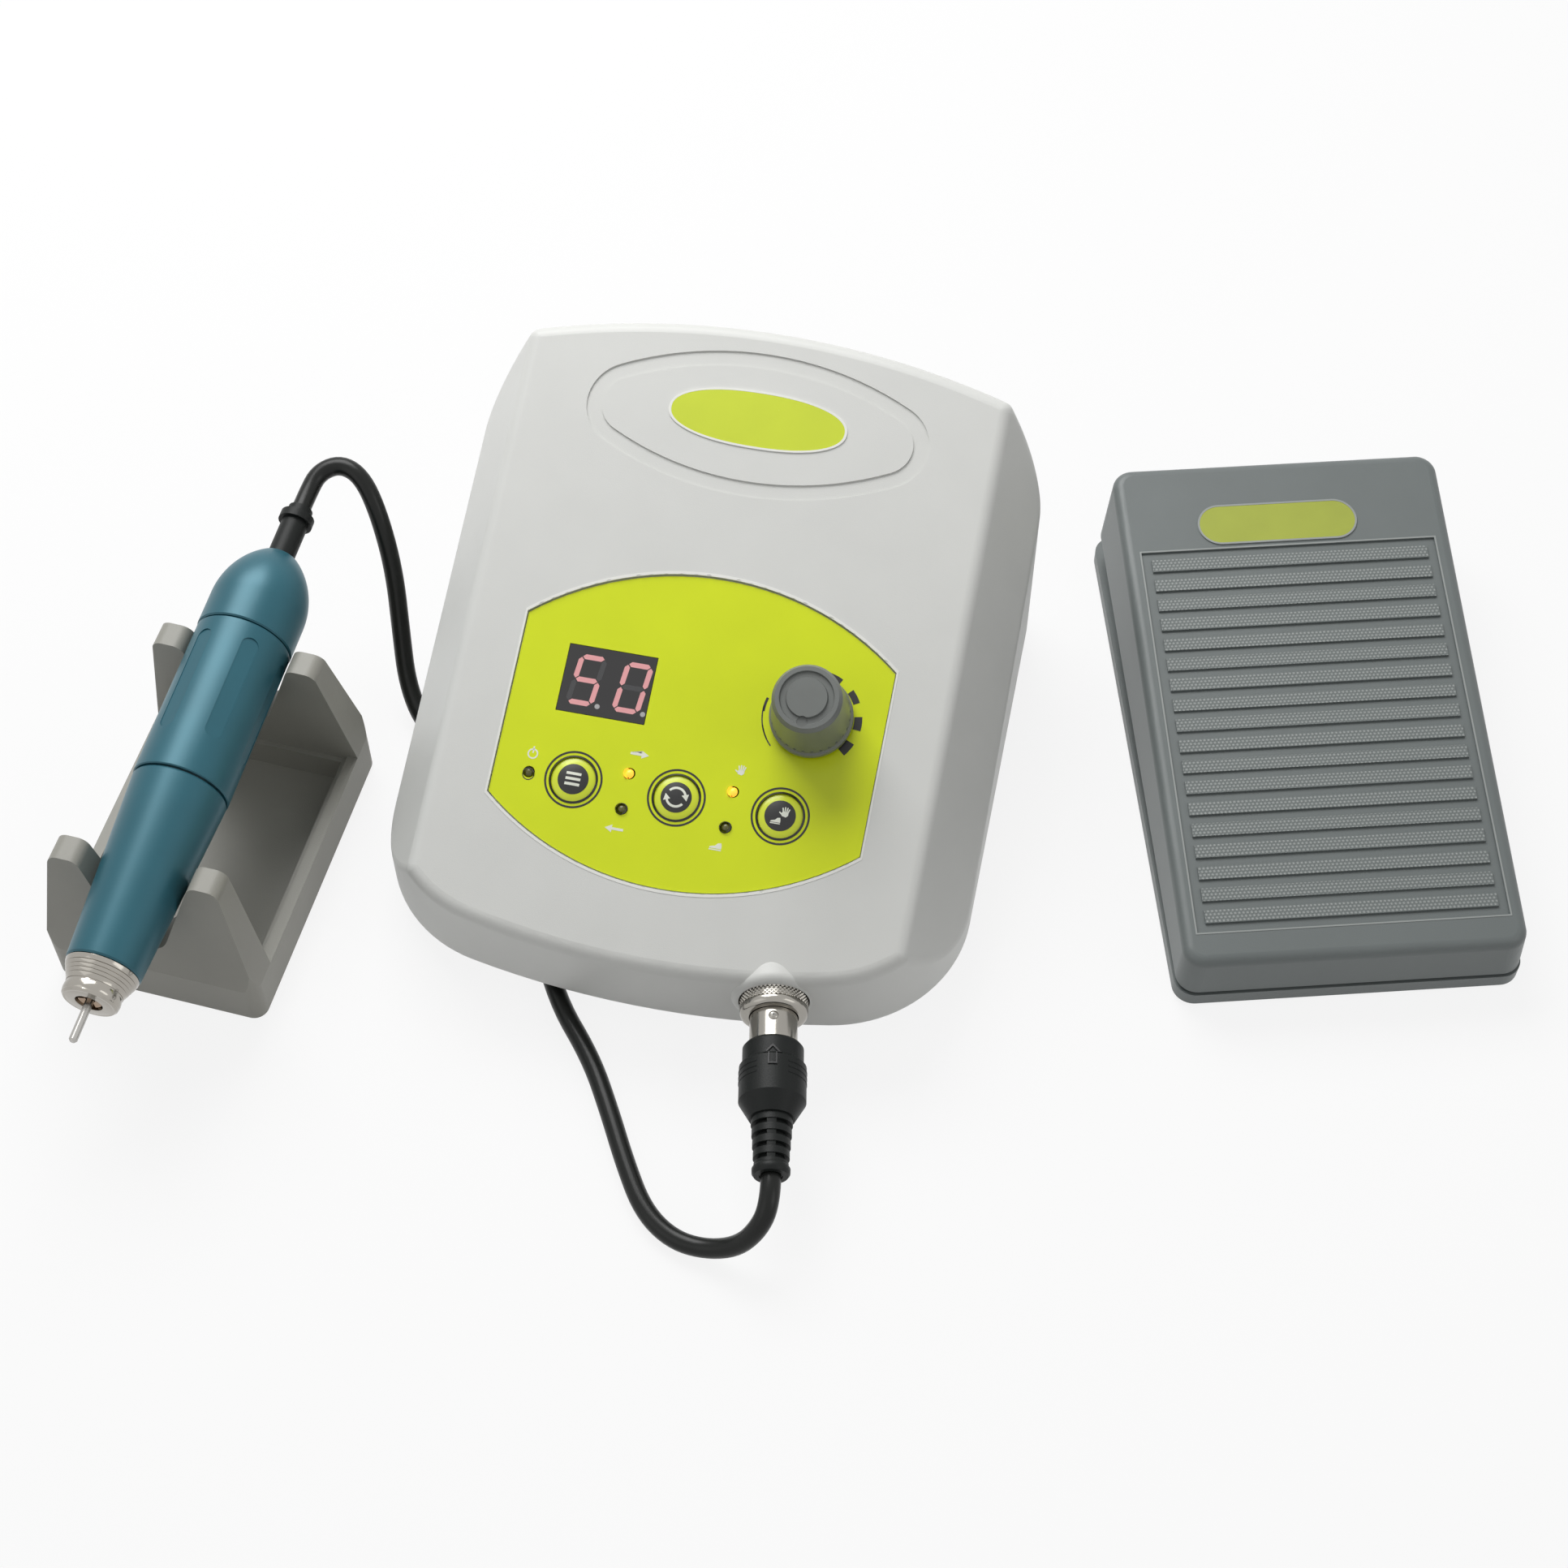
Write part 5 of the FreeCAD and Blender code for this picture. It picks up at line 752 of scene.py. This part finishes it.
NUT_RADIUS = {0: 9.05, 1: 9.05 + 0.34, -1: 9.05 - 0.3}
NUT_FROM, NUT_LONG = -1.4, 4.3
NUT_LIP = [(8.2, 3.0), (9.2, 3.0), (9.35, 3.3), (9.3, 4.2), (8.95, 4.9), (8.3, 5.35), (7.4, 5.42),
           (7.4, 4.2), (8.2, 4.0)]
SCREW_HEAD = [(0, -0.2), (1.35, -0.2), (1.35, 0.25), (1.15, 0.55), (0.7, 0.75), (0, 0.82)]
ARROW_OUTER = [(0, -17.9), (2.5, -20.6), (1.25, -20.6), (1.25, -24.2), (-1.25, -24.2), (-1.25, -20.6),
               (-2.5, -20.6)]
ARROW_INNER = [(0, -18.6), (1.55, -20.2), (0.85, -20.2), (0.85, -23.8), (-0.85, -23.8), (-0.85, -20.2),
               (-1.55, -20.2)]
BOOT_RIDGES = (22.6, 24.2, 25.8)
RIDGE_SIDES = ((-40, 62), (118, 220))
RELIEF_FROM, RELIEF_LONG, RELIEF_RINGS = 36.2, 16.2, 5
RELIEF_WIDE, RELIEF_TAPER = 5.6, 1.2
BRIDGE_HALF = 14
END_RING = [(3.2, 50.2), (4.85, 50.2), (5.15, 50.7), (5.1, 52.0), (4.6, 52.7), (3.2, 52.7)]


def over_plug(radius, along):
    """A frame that looks down on the plug's top side, a radius above its axis and some way along it."""
    above = Matrix.Translation(Vector((0, radius, along)) * MM)
    return SOCKET @ above @ Matrix.Rotation(math.radians(-90), 4, "X")


def build_nut():
    def spot(a, b, high):
        radius, angle = NUT_RADIUS[high], 2 * math.pi * a
        return Vector((radius * math.cos(angle), radius * math.sin(angle), NUT_FROM + NUT_LONG * b)) * MM
    knurled("nut_knurl", "plug_nut", SOCKET, 96, 8, spot, MATS["plug_chrome"])
    lathe("nut_lip", "plug_nut", NUT_LIP, SOCKET, MATS["plug_chrome"], steps=96)


def build_plug_details():
    head = over_plug(6.35, 8.1)
    lathe("shell_screw", "console", SCREW_HEAD, head, MATS["plug_chrome"], steps=32)
    cross = bmesh.new()
    for wide, deep in ((1.6, 0.28), (0.28, 1.6)):
        for v in bmesh.ops.create_cube(cross, size=1)["verts"]:
            v.co = Vector((v.co.x * wide, v.co.y * deep, 0.7 + v.co.z * 0.3)) * MM
    piece("shell_screw_cross", "console", cross, MATS["groove"], place=head)
    # The embossed arrow's outline is real; its black, paler than the boot's rubber, is a painted highlight on the
    # raised edge.
    arrow = bmesh.new()
    draw_strip(arrow, ARROW_INNER, ARROW_OUTER, closed=True)
    laid("boot_arrow", "console", arrow, over_plug(9.0, 0), ("plug_boot",), MATS["panel_black"],
         lift=0.4, sink=0.1, step=0.8)

    def rubber(name, profile, steps, start=0, end=360):
        lathe(name, "console", profile, SOCKET, MATS["rubber_black"],
              steps=steps, start=start, end=end)
    for k, s in enumerate(BOOT_RIDGES):
        ridge = [(8.95, s - 0.3), (9.22, s - 0.2), (9.22, s + 0.2), (8.95, s + 0.3)]
        for side, ends in enumerate(RIDGE_SIDES):
            rubber(f"boot_ridge_{k}_{side}", ridge, 24, *ends)
    pitch = RELIEF_LONG / RELIEF_RINGS
    for k in range(RELIEF_RINGS - 1):
        radius = RELIEF_WIDE - RELIEF_TAPER * k / RELIEF_RINGS
        s0 = RELIEF_FROM + pitch * (k + 0.6) - 0.15
        s1 = RELIEF_FROM + pitch * (k + 1) + 0.15
        bridge = [(radius - 1.6, s0), (radius - 0.25, s0), (radius - 0.4, s1), (radius - 1.6, s1)]
        for side, middle in enumerate((90, 270)):
            rubber(f"relief_bridge_{k}_{side}", bridge, 8, middle - BRIDGE_HALF, middle + BRIDGE_HALF)
    rubber("relief_end_ring", END_RING, 48)


# The handpiece, in its own frame: z runs from the nose's face to the cord

GRIP_RADIUS, GRIP_FROM, GRIP_WIDER, GRIP_LONG = 10.4, 10, 3.1, 56.5
KNURL_FROM, KNURL_LONG = 17.5, 40.5
KNURL_START, KNURL_SWEEP = -80, 88
KNURL_HEIGHT = {0: 0.01, 1: 0.26, -1: -0.3}
NOSE_BEAD = [(4.0, -0.02), (6.4, -0.05), (7.3, 0.25), (7.85, 0.9), (8.02, 1.8), (7.95, 2.8), (7.82, 3.4),
             (6.7, 3.4), (4.0, 0.4)]
CHUCK_JAW = [(1.25, 1.9), (1.35, 1.0), (3.2, 0.55), (3.65, 0.9), (3.7, 1.9)]
JAW_HALF = 42


def nose_profile():
    """A cone with four fine grooves, between a narrow front and the barrel's edge."""
    cone = [(6.7, 3.9), (7.95, 3.9), (8.1, 4.6)]
    for k in range(4):
        s = 5.3 + 1.0 * k
        radius = 8.1 + (s - 4.6) * 0.45
        cone += [(radius, s - 0.12), (radius - 0.14, s), (radius + 0.06, s + 0.12)]
    return cone + [(10.12, 9.25), (10.16, 9.62), (8.0, 9.66), (6.7, 9.0)]


def build_handpiece_details():
    def spot(a, b, high):
        station = KNURL_FROM + KNURL_LONG * b
        radius = GRIP_RADIUS + GRIP_WIDER * (station - GRIP_FROM) / GRIP_LONG + KNURL_HEIGHT[high]
        angle = math.radians(KNURL_START + KNURL_SWEEP * a)
        return Vector((radius * math.cos(angle), radius * math.sin(angle), station)) * MM
    knurled("grip_knurl", "grip", HAND, 38, 82, spot, MATS["handpiece_blue"], wrap=False)
    for name, profile in (("nose_cone", nose_profile()), ("nose_bead", NOSE_BEAD)):
        lathe(name, "handpiece", profile, HAND, MATS["nose_chrome"], steps=96)
    for k in range(3):
        middle = 90 + 120 * k
        lathe(f"chuck_jaw_{k}", "chuck", CHUCK_JAW, HAND, MATS["bronze"], steps=12,
              start=middle - JAW_HALF, end=middle + JAW_HALF)


build_cord()
build_fascia_print()
build_button_caps()
build_display()
build_lamps()
build_top_badge()
build_pedal_badge()
build_tread()
build_pedal_buffers()
build_nut()
build_plug_details()
build_handpiece_details()
build_seam()


# Light, floor and camera

FLOOR_WHITE_SHARE = 0.86
LAMPS = [("key", (-0.35, 0.5, 0.8), (-0.03, 0, 0.03), (0.7, 0.6), 8.6),
         ("fill", (-1.0, -0.9, 1.0), (0, 0, 0.03), (1.0, 1.0), 1.4),
         ("side", (1.2, -0.3, 0.9), (0, 0, 0.03), (0.6, 0.9), 2.0)]
PHOTO_WIDTH, FOCAL_PIXELS, SENSOR = 1932, 3500, 36
CAMERA_AT = (118.23, -458.33, 694.69)
CAMERA_AXES = ((0.9781, 0.2079, 0), (-0.1724, 0.8109, 0.5592), (0.1163, -0.5470, 0.8290))


def shown_white(tree):
    """One for the rays that show the background: the camera's, and those that metal and glass send on."""
    ray = tree.nodes.new("ShaderNodeLightPath")
    total = ray.outputs["Is Camera Ray"]
    for kind in ("Glossy", "Transmission"):
        most = tree.nodes.new("ShaderNodeMath")
        most.operation = "MAXIMUM"
        tree.links.new(total, most.inputs[0])
        tree.links.new(ray.outputs[f"Is {kind} Ray"], most.inputs[1])
        total = most.outputs[0]
    return total


def build_world():
    world = bpy.data.worlds.new("studio")
    bpy.context.scene.world = world
    world.use_nodes = True
    tree = world.node_tree
    back = tree.nodes["Background"]
    back.inputs["Color"].default_value = (1, 1, 1, 1)
    back.inputs["Strength"].default_value = 0.3
    seen = tree.nodes.new("ShaderNodeBackground")
    seen.inputs["Color"].default_value = (1, 1, 1, 1)
    seen.inputs["Strength"].default_value = 1.0
    mix = tree.nodes.new("ShaderNodeMixShader")
    tree.links.new(shown_white(tree), mix.inputs["Fac"])
    tree.links.new(back.outputs[0], mix.inputs[1])
    tree.links.new(seen.outputs[0], mix.inputs[2])
    tree.links.new(mix.outputs[0], tree.nodes["World Output"].inputs["Surface"])


def build_floor():
    mesh = bmesh.new()
    bmesh.ops.create_grid(mesh, x_segments=1, y_segments=1, size=2.5)
    data = bpy.data.meshes.new("floor")
    mesh.to_mesh(data)
    mesh.free()
    floor = bpy.data.objects.new("floor", data)
    floor.location.z = -0.2 * MM
    bpy.context.scene.collection.objects.link(floor)
    mat = bpy.data.materials.new("white floor")
    mat.use_nodes = True
    tree = mat.node_tree
    shader = tree.nodes["Principled BSDF"]
    shader.inputs["Base Color"].default_value = (0.8, 0.8, 0.8, 1)
    shader.inputs["Roughness"].default_value = 0.9
    shader.inputs["Specular IOR Level"].default_value = 0.1
    glow = tree.nodes.new("ShaderNodeEmission")
    glow.inputs["Strength"].default_value = 1.0
    part = tree.nodes.new("ShaderNodeMath")
    part.operation = "MULTIPLY"
    part.inputs[1].default_value = FLOOR_WHITE_SHARE
    tree.links.new(shown_white(tree), part.inputs[0])
    mix = tree.nodes.new("ShaderNodeMixShader")
    tree.links.new(part.outputs[0], mix.inputs["Fac"])
    tree.links.new(shader.outputs[0], mix.inputs[1])
    tree.links.new(glow.outputs[0], mix.inputs[2])
    tree.links.new(mix.outputs[0], tree.nodes["Material Output"].inputs["Surface"])
    data.materials.append(mat)


def build_lights():
    for name, spot, aim, size, power in LAMPS:
        light = bpy.data.lights.new(name, "AREA")
        light.shape = "RECTANGLE"
        light.size, light.size_y = size
        light.energy = power
        obj = bpy.data.objects.new(name, light)
        obj.location = spot
        obj.rotation_euler = (Vector(aim) - Vector(spot)).to_track_quat("-Z", "Y").to_euler()
        bpy.context.scene.collection.objects.link(obj)


def build_camera():
    camera = bpy.data.cameras.new("camera")
    camera.sensor_width = SENSOR
    camera.lens = FOCAL_PIXELS / PHOTO_WIDTH * SENSOR
    camera.clip_start = 0.01
    obj = bpy.data.objects.new("camera", camera)
    m = Matrix(CAMERA_AXES).transposed()
    m.normalize()
    m = m.to_4x4()
    m.translation = Vector(CAMERA_AT) * MM + LAYOUT
    obj.matrix_world = m
    bpy.context.scene.collection.objects.link(obj)
    bpy.context.scene.camera = obj


build_world()
build_floor()
build_lights()
build_camera()
bpy.context.scene.view_settings.view_transform = "Standard"
